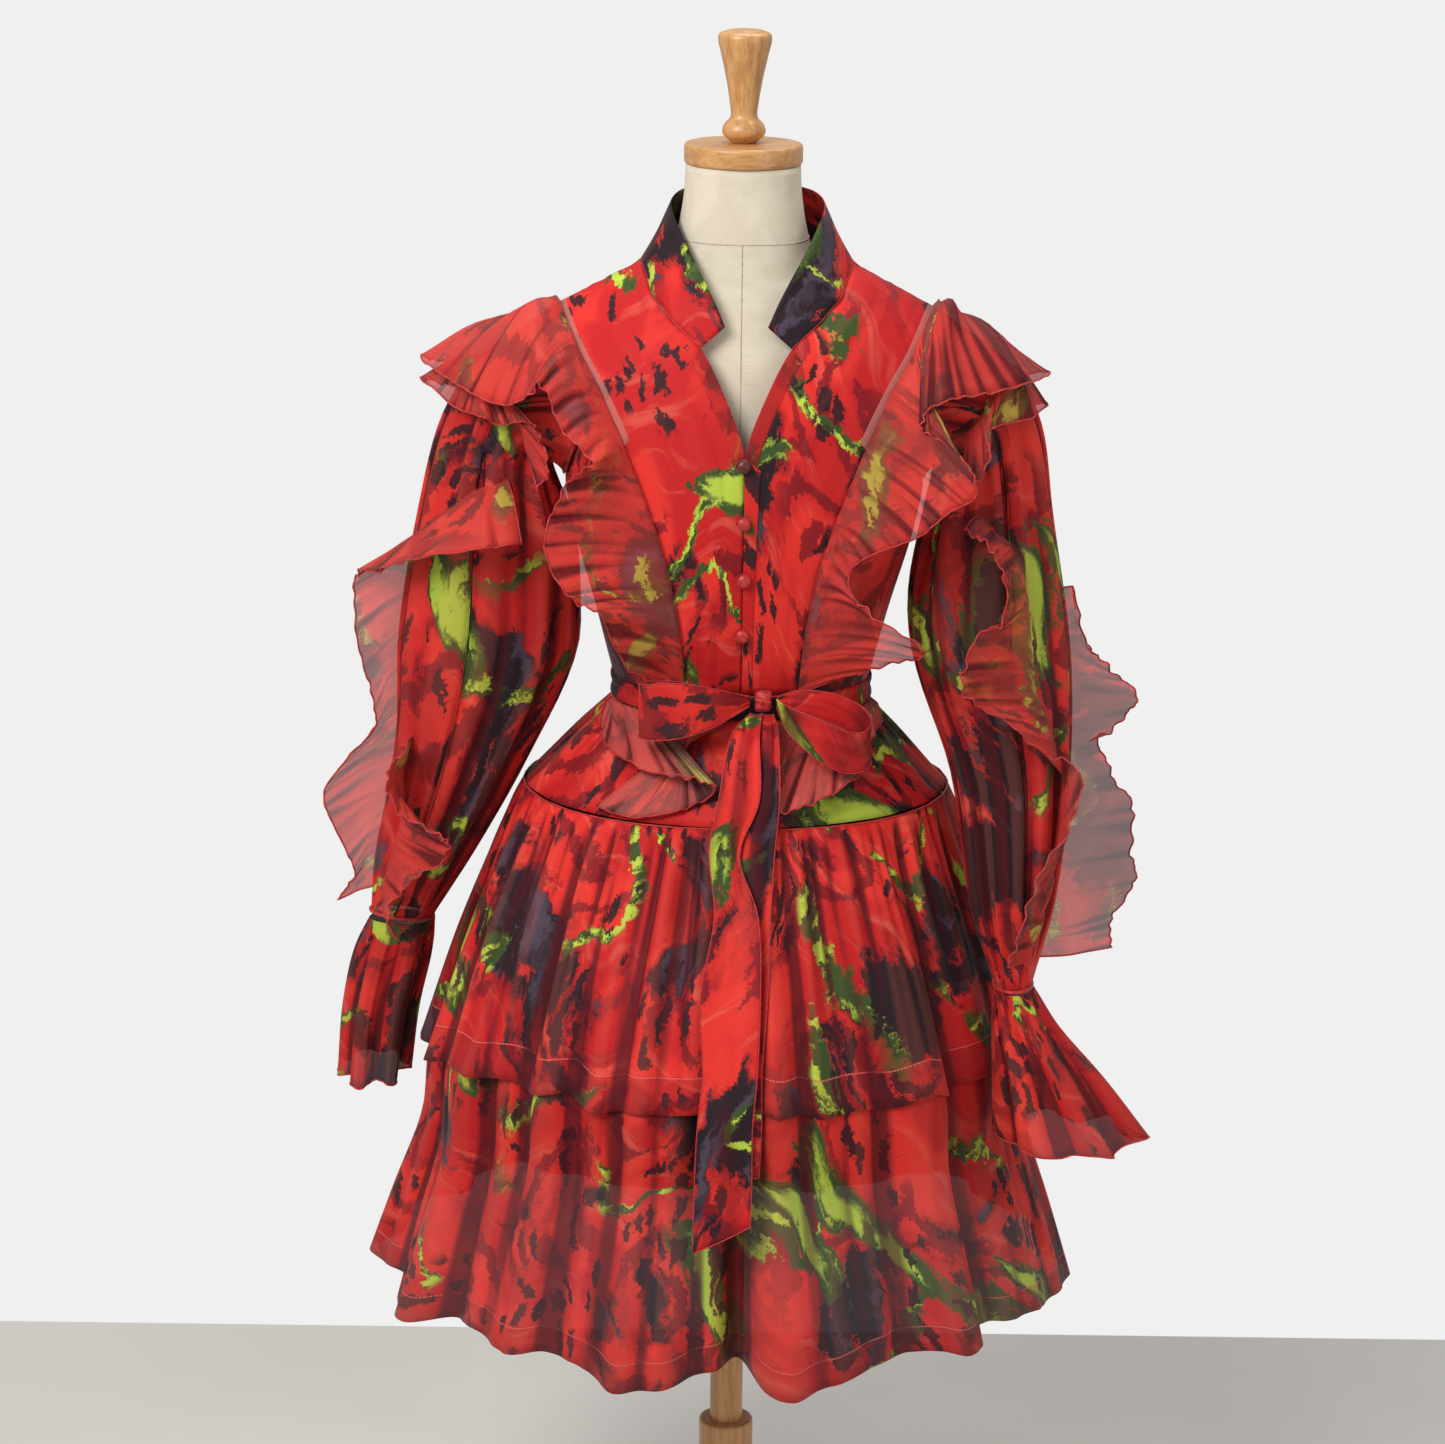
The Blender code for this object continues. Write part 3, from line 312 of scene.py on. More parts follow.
def surface_area(grid, closed=False):
    """The grid's area, from the two triangles of each face."""
    if closed:
        grid = np.concatenate([grid, grid[:, :1]], axis=1)
    a, b, c, d = grid[:-1, :-1], grid[:-1, 1:], grid[1:, 1:], grid[1:, :-1]
    return (np.linalg.norm(np.cross(b - a, d - a), axis=2)
            + np.linalg.norm(np.cross(b - c, d - c), axis=2)).sum() / 2


def hollows(grid, closed):
    """How deep each point lies in a fold, from -1 on a crest to 1 in a valley: the mask of the cloth's painted
    highlight and painted shade.
    """
    step = lengths(grid, 1, closed).mean() / grid.shape[1]
    reach = max(2, round(FOLD_SPAN / step))
    if closed:
        beside = [np.roll(grid, k, axis=1) for k in range(-reach, reach + 1)]
    else:
        padded = np.pad(grid, ((0, 0), (reach, reach), (0, 0)), mode="edge")
        beside = [padded[:, k:k + grid.shape[1]] for k in range(2 * reach + 1)]
    behind = (np.mean(beside, axis=0) - grid) * normals_of(grid, closed)
    return np.clip(behind.sum(axis=2) / FOLD_DEPTH, -1, 1)


def smooth_mesh(name, bm):
    """The finished bmesh as a smooth mesh of this name."""
    mesh = bpy.data.meshes.new(name)
    bm.to_mesh(mesh)
    bm.free()
    mesh.shade_smooth()
    return mesh


def cloth_mesh(name, grid, closed, turn=0.0, roll=None):
    """A mesh on the grid with a UV map in metres of flat cloth, each point's way to the hem, and how
    deep it lies in a fold, the mask of painted shade and highlight. turn is how far the print is turned,
    and roll the piece's place on the roll."""
    rows, columns = grid.shape[:2]
    faces_across = columns if closed else columns - 1
    wide = faces_across + 1
    index = len(pieces) if roll is None else roll
    start = np.array(ROLL_STEP) * index
    width, height = lengths(grid, 1, closed).max(), lengths(grid, 0).mean()
    bm = bmesh.new()
    bmesh.ops.create_grid(bm, x_segments=faces_across, y_segments=rows - 1, size=1)
    bm.verts.ensure_lookup_table()
    flat = bm.loops.layers.uv.new("Flat")
    hem, fold_shade = bm.verts.layers.float.new("hem"), bm.verts.layers.float.new("fold_shade")
    depth = hollows(grid, closed)
    for k, vert in enumerate(bm.verts):
        row, column = divmod(k, wide)
        vert.co = grid[row, column % columns]
        vert[fold_shade] = depth[row, column % columns]
        vert[hem] = height * (1 - row / (rows - 1))
    c, s = math.cos(turn), math.sin(turn)
    for face in bm.faces:
        for loop in face.loops:
            row, column = divmod(loop.vert.index, wide)
            u, v = width * column / faces_across, height * (1 - row / (rows - 1))
            loop[flat].uv = (start[0] + c * u - s * v, start[1] + s * u + c * v)
    if closed:
        bmesh.ops.remove_doubles(bm, verts=bm.verts, dist=1e-7)
    return smooth_mesh(name, bm)


def add_piece(name, mesh, material, slot, nodes=()):
    """A piece that rides on the dress, takes this slot's finish and stands for these nodes."""
    piece = bpy.data.objects.new(name, mesh)
    bpy.context.collection.objects.link(piece)
    mesh.materials.append(material)
    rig.ride(piece, "root")
    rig.slot(piece, slot)
    if nodes:
        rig.replaces(piece, *nodes)
    pieces[name] = piece
    return piece


def cloth(name, grid, material, slot, nodes=None, closed=False, held="hung", wall=CLOTH_WALL, offset=0.0,
          turn=0.0, edges=(), roll=None):
    """A sheet of cloth on this grid, which stands for the node of its name unless nodes says otherwise.
    edges are the pieces that are sewn along its rims."""
    nodes = (name,) if nodes is None else nodes
    name = f"{name}_cloth"
    piece = add_piece(name, cloth_mesh(name, grid, closed, turn, roll), material, slot, nodes)
    skin = piece.modifiers.new("Wall", "SOLIDIFY")
    skin.thickness, skin.offset, skin.use_rim = wall, offset, True
    flat = (float(lengths(grid, 1, closed).max()), float(lengths(grid, 0).max()))
    area = float(surface_area(grid, closed))
    if area < SHAPED * flat[0] * flat[1]:
        flat = (flat[0], area / (FILLED * flat[0]))
    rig.sheet(piece, flat=flat, held=held, area=min(area, flat[0] * flat[1]), with_pieces=list(edges))
    print(f"{name}: cut {flat[0]:.3f} x {flat[1]:.3f} m, {area:.4f} m2, {len(piece.data.polygons)} faces")
    return piece


# %% [markdown]
# A rolled edge is the narrowest hem there is: the cloth is turned over itself and sewn as a thread-thin
# roll. A fine tube along the rim shows it, and keeps the rim from looking like cut paper.

# %% Rolled edges
ROLL_RADIUS = 0.95 * MM
ROLL_SIDES = 6
ASIDE = (0.31, 0.17, 0.94)  # a direction that none of the lines runs along


def tube_grid(line, radius, closed=False):
    """A tube's points round a line."""
    line = np.asarray(line, float)
    if closed:
        along = np.roll(line, -1, axis=0) - np.roll(line, 1, axis=0)
    else:
        along = np.gradient(line, axis=0)
    along /= np.maximum(np.linalg.norm(along, axis=1, keepdims=True), 1e-9)
    one = np.cross(along, np.array(ASIDE))
    one /= np.maximum(np.linalg.norm(one, axis=1, keepdims=True), 1e-9)
    two = np.cross(along, one)
    turn = np.linspace(0, math.tau, ROLL_SIDES, endpoint=False)[None, :, None]
    return line[:, None] + radius * (np.cos(turn) * one[:, None] + np.sin(turn) * two[:, None])


def tube(name, lines, radius, material, slot, closed=False):
    """One piece of one or more fine tubes, closed at their ends."""
    bm = bmesh.new()
    for line in lines:
        grid = tube_grid(line, radius, closed=closed)
        rings = [[bm.verts.new(point) for point in ring] for ring in grid]
        pairs = list(zip(rings, rings[1:])) + ([(rings[-1], rings[0])] if closed else [])
        for first, second in pairs:
            edges = [bm.edges.get(pair) or bm.edges.new(pair)
                     for ring in (first, second) for pair in zip(ring, ring[1:] + ring[:1])]
            bmesh.ops.bridge_loops(bm, edges=edges)
        if not closed:
            bm.faces.new(rings[0])
            bm.faces.new(rings[-1][::-1])
    bmesh.ops.recalc_face_normals(bm, faces=bm.faces)
    return add_piece(name, smooth_mesh(name, bm), material, slot)


def rim_of(grid, sides=("bottom",)):
    """A line along these rims of the grid, in one run."""
    runs = {"left": grid[:, 0], "bottom": grid[-1], "right": grid[::-1, -1], "top": grid[0]}
    return np.vstack([runs[sides[0]]] + [runs[side][1:] for side in sides[1:]])


print("edge roll radius:", round(ROLL_RADIUS / MM, 2), "mm")

# %% [markdown]
# ## Keeping cloth off cloth
# A ruffle hangs over a sleeve, and mustn't sink into it. A search tree of the surface below tells how high
# each point of the ruffle stands over it, and points that are too low are lifted along its normal. A cloth
# simulation would settle it too, but takes minutes, and would move the folds that the tables place.

# %% Clearance
WALL = 1.2 * MM  # the solids' cloth wall
LAID = 0.5 * MM  # the gap between a piece and what it lies on
ROOT_HEIGHT = 1.5 * WALL + LAID  # a ruffle's root above its panel
SLEEVE_ROOT = 2.9 * MM  # and above its sleeve
HOLD_OFF = 8 * MM  # how far off the cloth below a ruffle hangs
CLEAR = 1.8 * WALL + LAID  # the least that it clears it by
REACH = 45 * MM  # how far away a surface still counts
PANEL_CLEAR, PANEL_REACH = 3.6 * MM, 5 * MM  # the same two, for a ruffle over its own panel
LATTICE, CLEAR_PASSES = (0, 0.25, 0.5, 0.75, 1), 4
STEEP = 0.7  # a point whose height is a smaller share of its distance lies past the surface's edge


def surface_of(grid, closed=True):
    """A grid as a search tree whose faces look outward."""
    rows, columns = grid.shape[:2]
    faces = []
    for row in range(rows - 1):
        for left in range(columns if closed else columns - 1):
            right = (left + 1) % columns
            faces.append([row * columns + left, row * columns + right,
                          (row + 1) * columns + right, (row + 1) * columns + left])
    return BVHTree.FromPolygons([tuple(point) for point in grid.reshape(-1, 3)], faces)


def held_off(points, surface, distance, reach=REACH):
    """The points, each at least this far outside the surface, apart from those past its edge."""
    moved = points.copy()
    for index in np.ndindex(points.shape[:-1]):
        near, normal, _, far = surface.find_nearest(tuple(points[index]))
        near, normal = np.array(near), np.array(normal)
        height = (points[index] - near) @ normal
        if height < distance and far < reach and (abs(height) > STEEP * far or far < distance):
            moved[index] = near + normal * distance
    return moved


def cleared(grid, surface, clear, reach):
    """The grid with its corners lifted until a lattice of points on each face clears the surface."""
    grid = grid.copy()
    lattice = [(1 - u, u, 1 - v, v) for u in LATTICE for v in LATTICE]
    weights = [np.array([[a * c, a * d], [b * c, b * d]])[..., None] for a, b, c, d in lattice]
    for _ in range(CLEAR_PASSES):
        for row, column in np.ndindex(grid.shape[0] - 1, grid.shape[1] - 1):
            face = grid[row:row + 2, column:column + 2]
            for weight in weights:
                point = (face * weight).sum(axis=(0, 1))
                near, normal, _, far = surface.find_nearest(tuple(point))
                near, normal = np.array(near), np.array(normal)
                height = (point - near) @ normal
                if height < clear and far < reach and (abs(height) > STEEP * far or far < clear):
                    face += normal * (clear - height) * weight / weight.max()
    return grid


print("a ruffle's root stands", round(ROOT_HEIGHT / MM, 2), "mm above its panel")

# %% [markdown]
# ## The print and the cloth's finish
# The cloth carries large loose flowers, brushed on a red ground. This is a design of its own: blooms with
# ragged petals, charcoal shadows, curved stems, lime leaves and small dry brush marks, each from noise or
# cells in the flat cloth's own metres. One node group makes the colour, so that every cloth material can
# ask for the same print, darker or paler.

# %% Node helpers


def new_group(name, inputs, outputs):
    """A shader node group with named sockets: (name, kind, default)."""
    group = bpy.data.node_groups.new(name, "ShaderNodeTree")
    for label, kind, value in inputs:
        socket = group.interface.new_socket(label, in_out="INPUT", socket_type=f"NodeSocket{kind}")
        if value is not None:
            socket.default_value = value
    for label, kind in outputs:
        group.interface.new_socket(label, in_out="OUTPUT", socket_type=f"NodeSocket{kind}")
    return group


class Graph:
    """Short ways to add and join shader nodes."""

    def __init__(self, tree):
        self.nodes, self.links = tree.nodes, tree.links

    def add(self, kind, *wires, **values):
        """A node with these properties. wires are (input, source) pairs, each source a socket or value."""
        node = self.nodes.new(f"ShaderNode{kind}")
        for key, value in values.items():
            setattr(node, key, value)
        for place, source in wires:
            if isinstance(source, bpy.types.NodeSocket):
                self.links.new(source, node.inputs[place])
            else:
                node.inputs[place].default_value = source
        return node

    def math(self, operation, *sources):
        return self.add("Math", *enumerate(sources), operation=operation).outputs[0]

    def vector(self, operation, *sources):
        return self.add("VectorMath", *enumerate(sources), operation=operation).outputs[0]

    def step(self, value, low, high):
        """0 below low, 1 above high, smooth between."""
        return self.add("MapRange", ("Value", value), ("From Min", low), ("From Max", high),
                        interpolation_type="SMOOTHSTEP").outputs[0]

    def noise(self, place, scale, detail=2.0, rough=0.5, distortion=0.0, part="Fac", space="2D"):
        """Noise over flat cloth, or in space where the place is an object's own."""
        return self.add("TexNoise", ("Vector", place), ("Scale", scale), ("Detail", detail),
                        ("Roughness", rough), ("Distortion", distortion),
                        noise_dimensions=space).outputs[part]

    def cells(self, place, scale):
        """Scattered cells over flat cloth: each one's middle, and a chance colour of its own."""
        return self.add("TexVoronoi", ("Vector", place), ("Scale", scale), feature="F1",
                        voronoi_dimensions="2D")

    def mix(self, share, first, second):
        """The first colour with this share of the second."""
        return self.add("Mix", ("Factor", share), (6, first), (7, second), data_type="RGBA").outputs[2]


def new_material(name):
    """A material with its graph and its shader."""
    material = bpy.data.materials.new(name)
    material.use_nodes = True
    g = Graph(material.node_tree)
    return material, g, g.nodes["Principled BSDF"]


# %% [markdown]
# ### The painted print
# The place on the cloth is first pushed about by slow noise, which bends every stroke as a hand would.
# Blooms are rings round scattered centres. Stems are the thin lines where a slow noise crosses its middle
# value. Leaves are long cells, kept only here and there. Brush marks are small stretched cells.

# %% Print group
RED_GROUND = (0.50, 0.013, 0.014, 1)
BRIGHT_RED = (0.70, 0.030, 0.022, 1)
WINE = (0.150, 0.006, 0.012, 1)
CHARCOAL = (0.018, 0.010, 0.014, 1)
SLATE = (0.070, 0.050, 0.075, 1)
LEAF_GREEN = (0.040, 0.075, 0.018, 1)
LIME = (0.46, 0.58, 0.060, 1)
# salmon: the print's pale brush strokes, and the painted highlight on the crests of folds
SALMON_PRINT_AND_HIGHLIGHT = (0.80, 0.17, 0.11, 1)
# How many there are to a metre of cloth; leaves and brush marks are long, so theirs differ across and along
BLOOMS, SHADOWS, STEMS = 5.2, 5.4, 4.6
LEAVES, BRUSH_MARKS = (15.0, 5.0, 1.0), (60.0, 24.0, 1.0)
PETAL_RINGS = 24.0  # how fast the rings follow each other out from a bloom's middle
BEND, RAGGED = 0.20, 0.034  # how far a stroke is bent, and how far its edge frays, in metres


def build_print_group():
    group = new_group("Painted print", [("Vector", "Vector", None), ("Shade", "Float", 0.0)],
                      [("Color", "Color")])
    g = Graph(group)
    inlet, outlet = g.nodes.new("NodeGroupInput"), g.nodes.new("NodeGroupOutput")
    place = inlet.outputs["Vector"]

    def elsewhere(x, y):
        return g.vector("ADD", place, (x, y, 0.0))

    def pushed(source, far, scale, detail, rough=0.5):
        """The source moved about, by up to about half this far, by noise of this scale."""
        push = g.vector("SUBTRACT", g.noise(place, scale, detail, rough, part="Color"), (0.5, 0.5, 0.5))
        return g.vector("ADD", source, g.vector("MULTIPLY", push, (far, far, 0.0)))

    def turned(source, angle):
        return g.add("VectorRotate", ("Vector", source), ("Angle", angle), rotation_type="Z_AXIS").outputs[0]

    def brushed(source, angle, stretch):
        """Noise drawn out along one direction, as a flat brush leaves it."""
        return g.noise(g.vector("MULTIPLY", turned(source, angle), (*stretch, 1.0)), 1.0, 3.0, 0.62)

    bent = pushed(place, BEND, 4.2, 2.0)
    ragged = pushed(bent, RAGGED, 46, 4.0, 0.72)
    streaks = brushed(ragged, 0.5, (62.0, 9.0))

    def streaked(value, amount):
        """The value with its edge drawn out along the brush's streaks."""
        return g.math("ADD", value, g.math("MULTIPLY", g.math("SUBTRACT", streaks, 0.5), amount))

    def chance(cells, channel):
        """A number from 0 to 1 for each cell, to keep only some of them."""
        return g.add("SeparateColor", ("Color", cells.outputs["Color"])).outputs[channel]

    # ground
    colour = g.mix(g.step(g.noise(bent, 8, 3), 0.42, 0.60), RED_GROUND, BRIGHT_RED)
    pale = g.step(brushed(bent, 1.1, (40.0, 7.0)), 0.56, 0.74)
    colour = g.mix(g.math("MULTIPLY", pale, 0.32), colour, SALMON_PRINT_AND_HIGHLIGHT)
    # blooms: ragged petal rings round scattered centres, brushed with wine
    bloom = g.cells(ragged, BLOOMS).outputs["Distance"]
    rings = g.math("SINE", g.math("MULTIPLY", bloom, PETAL_RINGS))
    petals = g.step(g.math("ADD", rings, g.math("MULTIPLY", streaks, 2.6)), 1.55, 1.95)
    petals = g.math("MULTIPLY", petals, g.step(g.noise(bent, 4.4, 1), 0.44, 0.54))
    colour = g.mix(g.math("MULTIPLY", petals, 0.8), colour, WINE)
    # charcoal shadows, ragged and streaked, with wine round them
    slow = streaked(g.noise(ragged, SHADOWS, 3.0), 0.22)
    slow = g.math("ADD", slow, g.math("MULTIPLY", inlet.outputs["Shade"], 0.1))
    dark = g.step(slow, 0.605, 0.630)
    tone = g.mix(g.step(brushed(ragged, 0.5, (30.0, 6.0)), 0.5, 0.68), CHARCOAL, SLATE)
    colour = g.mix(g.math("MULTIPLY", g.step(slow, 0.55, 0.63), 0.7), colour, WINE)
    colour = g.mix(dark, colour, tone)
    # strokes of green: where a slow noise is near its middle value, and only in places
    line = g.math("ABSOLUTE", g.math("SUBTRACT", g.noise(ragged, STEMS, 0.0, distortion=0.4), 0.5))
    line = streaked(line, 0.05)
    where = g.step(g.noise(elsewhere(3.1, 7.7), 4.3, 1), 0.535, 0.565)
    stem = g.math("MULTIPLY", g.step(line, 0.034, 0.020), where)
    bright = g.math("MULTIPLY", stem, g.step(brushed(ragged, 1.9, (48.0, 13.0)), 0.50, 0.60))
    colour = g.mix(stem, colour, LEAF_GREEN)
    colour = g.mix(bright, colour, LIME)
    # leaves: a few long cells, streaked with lime
    leaves = g.cells(g.vector("MULTIPLY", turned(bent, 0.9), LEAVES), 1.0)
    chosen = g.step(chance(leaves, 0), 0.84, 0.85)
    rough = streaked(leaves.outputs["Distance"], 0.6)
    leaf = g.math("MULTIPLY", g.step(rough, 0.44, 0.36), chosen)
    middle = g.math("MULTIPLY", g.step(rough, 0.30, 0.16), chosen)
    colour = g.mix(leaf, colour, LEAF_GREEN)
    colour = g.mix(g.math("MULTIPLY", middle, 0.9), colour, LIME)
    # dry brush marks
    marks = g.cells(g.vector("MULTIPLY", ragged, BRUSH_MARKS), 1.0)
    few = g.step(chance(marks, 1), 0.60, 0.62)
    patch = g.step(g.noise(elsewhere(9.4, 2.3), 6.5, 1), 0.46, 0.52)
    mark = g.math("MULTIPLY", g.math("MULTIPLY", g.step(marks.outputs["Distance"], 0.46, 0.34), few), patch)
    colour = g.mix(g.math("MULTIPLY", mark, 0.95), colour, CHARCOAL)
    g.links.new(colour, outlet.inputs["Color"])
    print("print group:", len(group.nodes), "nodes")
    return group


print_group = build_print_group()

# %% [markdown]
# ### Crinkle, hem band and stitching
# Crinkle cloth has fine uneven ridges across its length. A second group gives their height, and the
# shallow puckers between them. A third group knows how far a point lies from the hem, and draws the
# turned-up band, its shadow and a dashed row of stitches along its top.

# %% Crinkle and hem groups
RIDGES, PUCKERS = (110.0, 520.0, 1.0), (38.0, 90.0, 1.0)  # how many to a metre, across and down
STITCH_INSET, THREAD_HALF = 1.6 * MM, 0.6 * MM  # the row's way below the band's top, and half its width
STITCHES, STITCH_SPACE = 290.0, 0.3  # to a metre, and the share of each that is a gap


def build_crinkle_group():
    group = new_group("Crinkle", [("Vector", "Vector", None)], [("Height", "Float")])
    g = Graph(group)
    inlet, outlet = g.nodes.new("NodeGroupInput"), g.nodes.new("NodeGroupOutput")
    place = inlet.outputs["Vector"]
    ridges = g.noise(g.vector("MULTIPLY", place, RIDGES), 1.0, 2.0, 0.6)
    puckers = g.noise(g.vector("MULTIPLY", place, PUCKERS), 1.0, 2.0)
    height = g.math("ADD", g.math("MULTIPLY", ridges, 0.45), g.math("MULTIPLY", puckers, 1.1))
    g.links.new(height, outlet.inputs["Height"])
    return group


def build_hem_group():
    group = new_group("Hem band", [("Hem", "Float", 1.0), ("Vector", "Vector", None),
                                   ("Band", "Float", 0.034)], [("Band", "Float"), ("Stitch", "Float")])
    g = Graph(group)
    inlet, outlet = g.nodes.new("NodeGroupInput"), g.nodes.new("NodeGroupOutput")
    hem, band = inlet.outputs["Hem"], inlet.outputs["Band"]
    inside = g.math("LESS_THAN", hem, band)
    off = g.math("ABSOLUTE", g.math("SUBTRACT", hem, g.math("SUBTRACT", band, STITCH_INSET)))
    along = g.add("SeparateXYZ", ("Vector", inlet.outputs["Vector"])).outputs[0]
    dash = g.math("GREATER_THAN", g.math("FRACT", g.math("MULTIPLY", along, STITCHES)), STITCH_SPACE)
    stitch = g.math("MULTIPLY", g.math("LESS_THAN", off, THREAD_HALF), dash)
    g.links.new(inside, outlet.inputs["Band"])
    g.links.new(stitch, outlet.inputs["Stitch"])
    return group


crinkle_group, hem_group = build_crinkle_group(), build_hem_group()

# %% [markdown]
# ### Cloth materials
# The body of the dress is two layers deep and hardly see-through; a ruffle is one sheer layer. Alpha does
# that, and stays a plain number on the shader. It is 1 where layers lie on layers, because every half clear
# layer costs each ray another look at the print. Sheen gives the soft bloom of thin crepe at its edges.
# Folds get painted shade in their valleys and a painted highlight on their crests, from the attribute
# of how deep each point lies in a fold.

# %% Cloth materials
THREAD = (0.72, 0.12, 0.10, 1)
# painted shade for the valleys of the folds
PAINTED_VALLEY_SHADE = (0.070, 0.004, 0.008, 1)
# shares of the painted valley shade, the painted crest highlight and the hem band's darker colour
VALLEY_SHADE_SHARE, CREST_HIGHLIGHT_SHARE, BAND_SHARE = 0.82, 0.09, 0.28
CRINKLE, CRINKLE_DEPTH = 0.5, 0.9 * MM


def cloth_material(name, alpha, shade=0.0, band=0.0, tint=None):
    """The printed cloth. shade darkens it, band is the hem's width, and tint is a colour and its share."""
    material, g, shader = new_material(name)
    place = g.add("UVMap", uv_map="Flat").outputs[0]
    painted = g.add("Group", node_tree=print_group)
    g.links.new(place, painted.inputs["Vector"])
    painted.inputs["Shade"].default_value = shade
    colour = painted.outputs["Color"]
    if tint is not None:
        colour = g.mix(tint[1], colour, tint[0])
    if band:
        hem = g.add("Group", node_tree=hem_group)
        g.links.new(g.add("Attribute", attribute_name="hem").outputs["Fac"], hem.inputs["Hem"])
        g.links.new(place, hem.inputs["Vector"])
        hem.inputs["Band"].default_value = band
        deeper = g.mix(g.math("MULTIPLY", hem.outputs["Band"], BAND_SHARE), colour, WINE)
        colour = g.mix(hem.outputs["Stitch"], deeper, THREAD)
    # painted shade darkens the valleys of the folds
    fold_shade = g.add("Attribute", attribute_name="fold_shade").outputs["Fac"]
    colour = g.mix(g.math("MULTIPLY", g.step(fold_shade, 0.0, 0.85), VALLEY_SHADE_SHARE), colour, PAINTED_VALLEY_SHADE)
    # a painted highlight pales the crests of the folds
    colour = g.mix(g.math("MULTIPLY", g.step(fold_shade, -0.1, -1.0), CREST_HIGHLIGHT_SHARE), colour, SALMON_PRINT_AND_HIGHLIGHT)
    g.links.new(colour, shader.inputs["Base Color"])
    ridges = g.add("Group", node_tree=crinkle_group)
    g.links.new(place, ridges.inputs["Vector"])
    bump = g.add("Bump", ("Height", ridges.outputs["Height"]), ("Strength", CRINKLE),
                 ("Distance", CRINKLE_DEPTH))
    g.links.new(bump.outputs[0], shader.inputs["Normal"])
    shader.inputs["Roughness"].default_value = 0.62
    shader.inputs["Specular IOR Level"].default_value = 0.14
    shader.inputs["Sheen Weight"].default_value = 0.04
    shader.inputs["Sheen Roughness"].default_value = 0.45
    shader.inputs["Alpha"].default_value = alpha
    return material


body_cloth = cloth_material("Body cloth", 1.0)
skirt_cloth = cloth_material("Skirt cloth", 1.0, band=0.034)
under_cloth = cloth_material("Under skirt cloth", 0.85, band=0.03)
ruffle_cloth = cloth_material("Ruffle cloth", 0.62, tint=((0.82, 0.11, 0.085, 1), 0.3))
flounce_cloth = cloth_material("Waist flounce cloth", 0.7, tint=((0.80, 0.26, 0.22, 1), 0.3))
bow_cloth = cloth_material("Bow cloth", 1.0)
band_cloth = cloth_material("Collar cloth", 1.0, shade=1.3)
belt_cloth = cloth_material("Belt cloth", 1.0, shade=1.5)
sleeve_cloth = cloth_material("Sleeve cloth", 0.82)
facing_cloth = cloth_material("Facing cloth", 0.5, tint=((0.70, 0.05, 0.04, 1), 0.35))
pale_cloth = cloth_material("Seam allowance", 0.35, tint=((0.80, 0.30, 0.26, 1), 0.75))


def plain_cloth(name, colour, roughness=0.5):
    """Cloth or thread of one colour, mottled by its own fine weave."""
    material, g, shader = new_material(name)
    place = g.add("TexCoord").outputs["Object"]
    shade = g.step(g.noise(place, 260, 2, space="3D"), 0.35, 0.7)
    darker = tuple(0.55 * c for c in colour[:3]) + (1,)
    g.links.new(g.mix(shade, darker, colour), shader.inputs["Base Color"])
    bump = g.add("Bump", ("Height", g.noise(place, 900, 2, space="3D")), ("Strength", 0.4),
                 ("Distance", 0.4 * MM))
    g.links.new(bump.outputs[0], shader.inputs["Normal"])
    shader.inputs["Roughness"].default_value = roughness
    shader.inputs["Sheen Weight"].default_value = 0.1
    return material


edge_cloth = plain_cloth("Rolled edge", (0.58, 0.018, 0.018, 1))
button_cloth = plain_cloth("Covered button", (0.55, 0.02, 0.018, 1), 0.42)
dark_button_cloth = plain_cloth("Dark covered button", (0.12, 0.012, 0.010, 1), 0.42)
lining_cloth = plain_cloth("Skirt lining", (0.36, 0.012, 0.014, 1), 0.6)
linen_seam = plain_cloth("Linen seam", (0.58, 0.50, 0.38, 1), 0.85)

# %% [markdown]
# ## The bodice
# A fitted bodice is cut in panels, because flat cloth can't follow a bust. The eight panels meet in seams
# that are drawn in a little, where the needle pulls them. Each panel is a row of chords between its inner
# and outer edge, swollen outward where the body is full.

# %% Bodice tables
BODICE_X = 5 * MM  # the bodice hangs this far to the right on the form
# Bodice pieces of the right half: the inner edge, the outer edge, and how far the row swells out
# between them. The left half mirrors them. Rows run down.
# Columns: x_in, y_in, z_in, x_out, y_out, z_out, swell
FRONT_CENTRE = (
    (105, -4, 1496, 192, -6, 1450, 0),
    (93, -54, 1468, 170, -55, 1411, 4),
    (71, -82, 1446, 147, -86, 1374, 7),
    (45, -98, 1424, 127, -106, 1331, 8),
    (21, -116, 1380, 109, -117, 1288, 8),
    (0, -130, 1322, 93, -121, 1246, 6),
    (0, -136, 1262, 77, -120, 1200, 5),
    (0, -129, 1195, 66, -113, 1145, 4),
    (0, -117, 1135, 62, -106, 1108, 3),
    (0, -107, 1075, 60, -97, 1075, 2),
)
FRONT_SIDE = (
    (147, -86, 1374, 153, -82, 1366, 0),
    (127, -106, 1331, 166, -72, 1318, 5),
    (109, -117, 1288, 176, -42, 1288, 16),
    (93, -121, 1246, 181, 0, 1276, 26),
    (77, -120, 1200, 171, 0, 1222, 28),
    (66, -113, 1145, 151, 0, 1150, 25),
    (60, -97, 1075, 131, 0, 1075, 22),
)
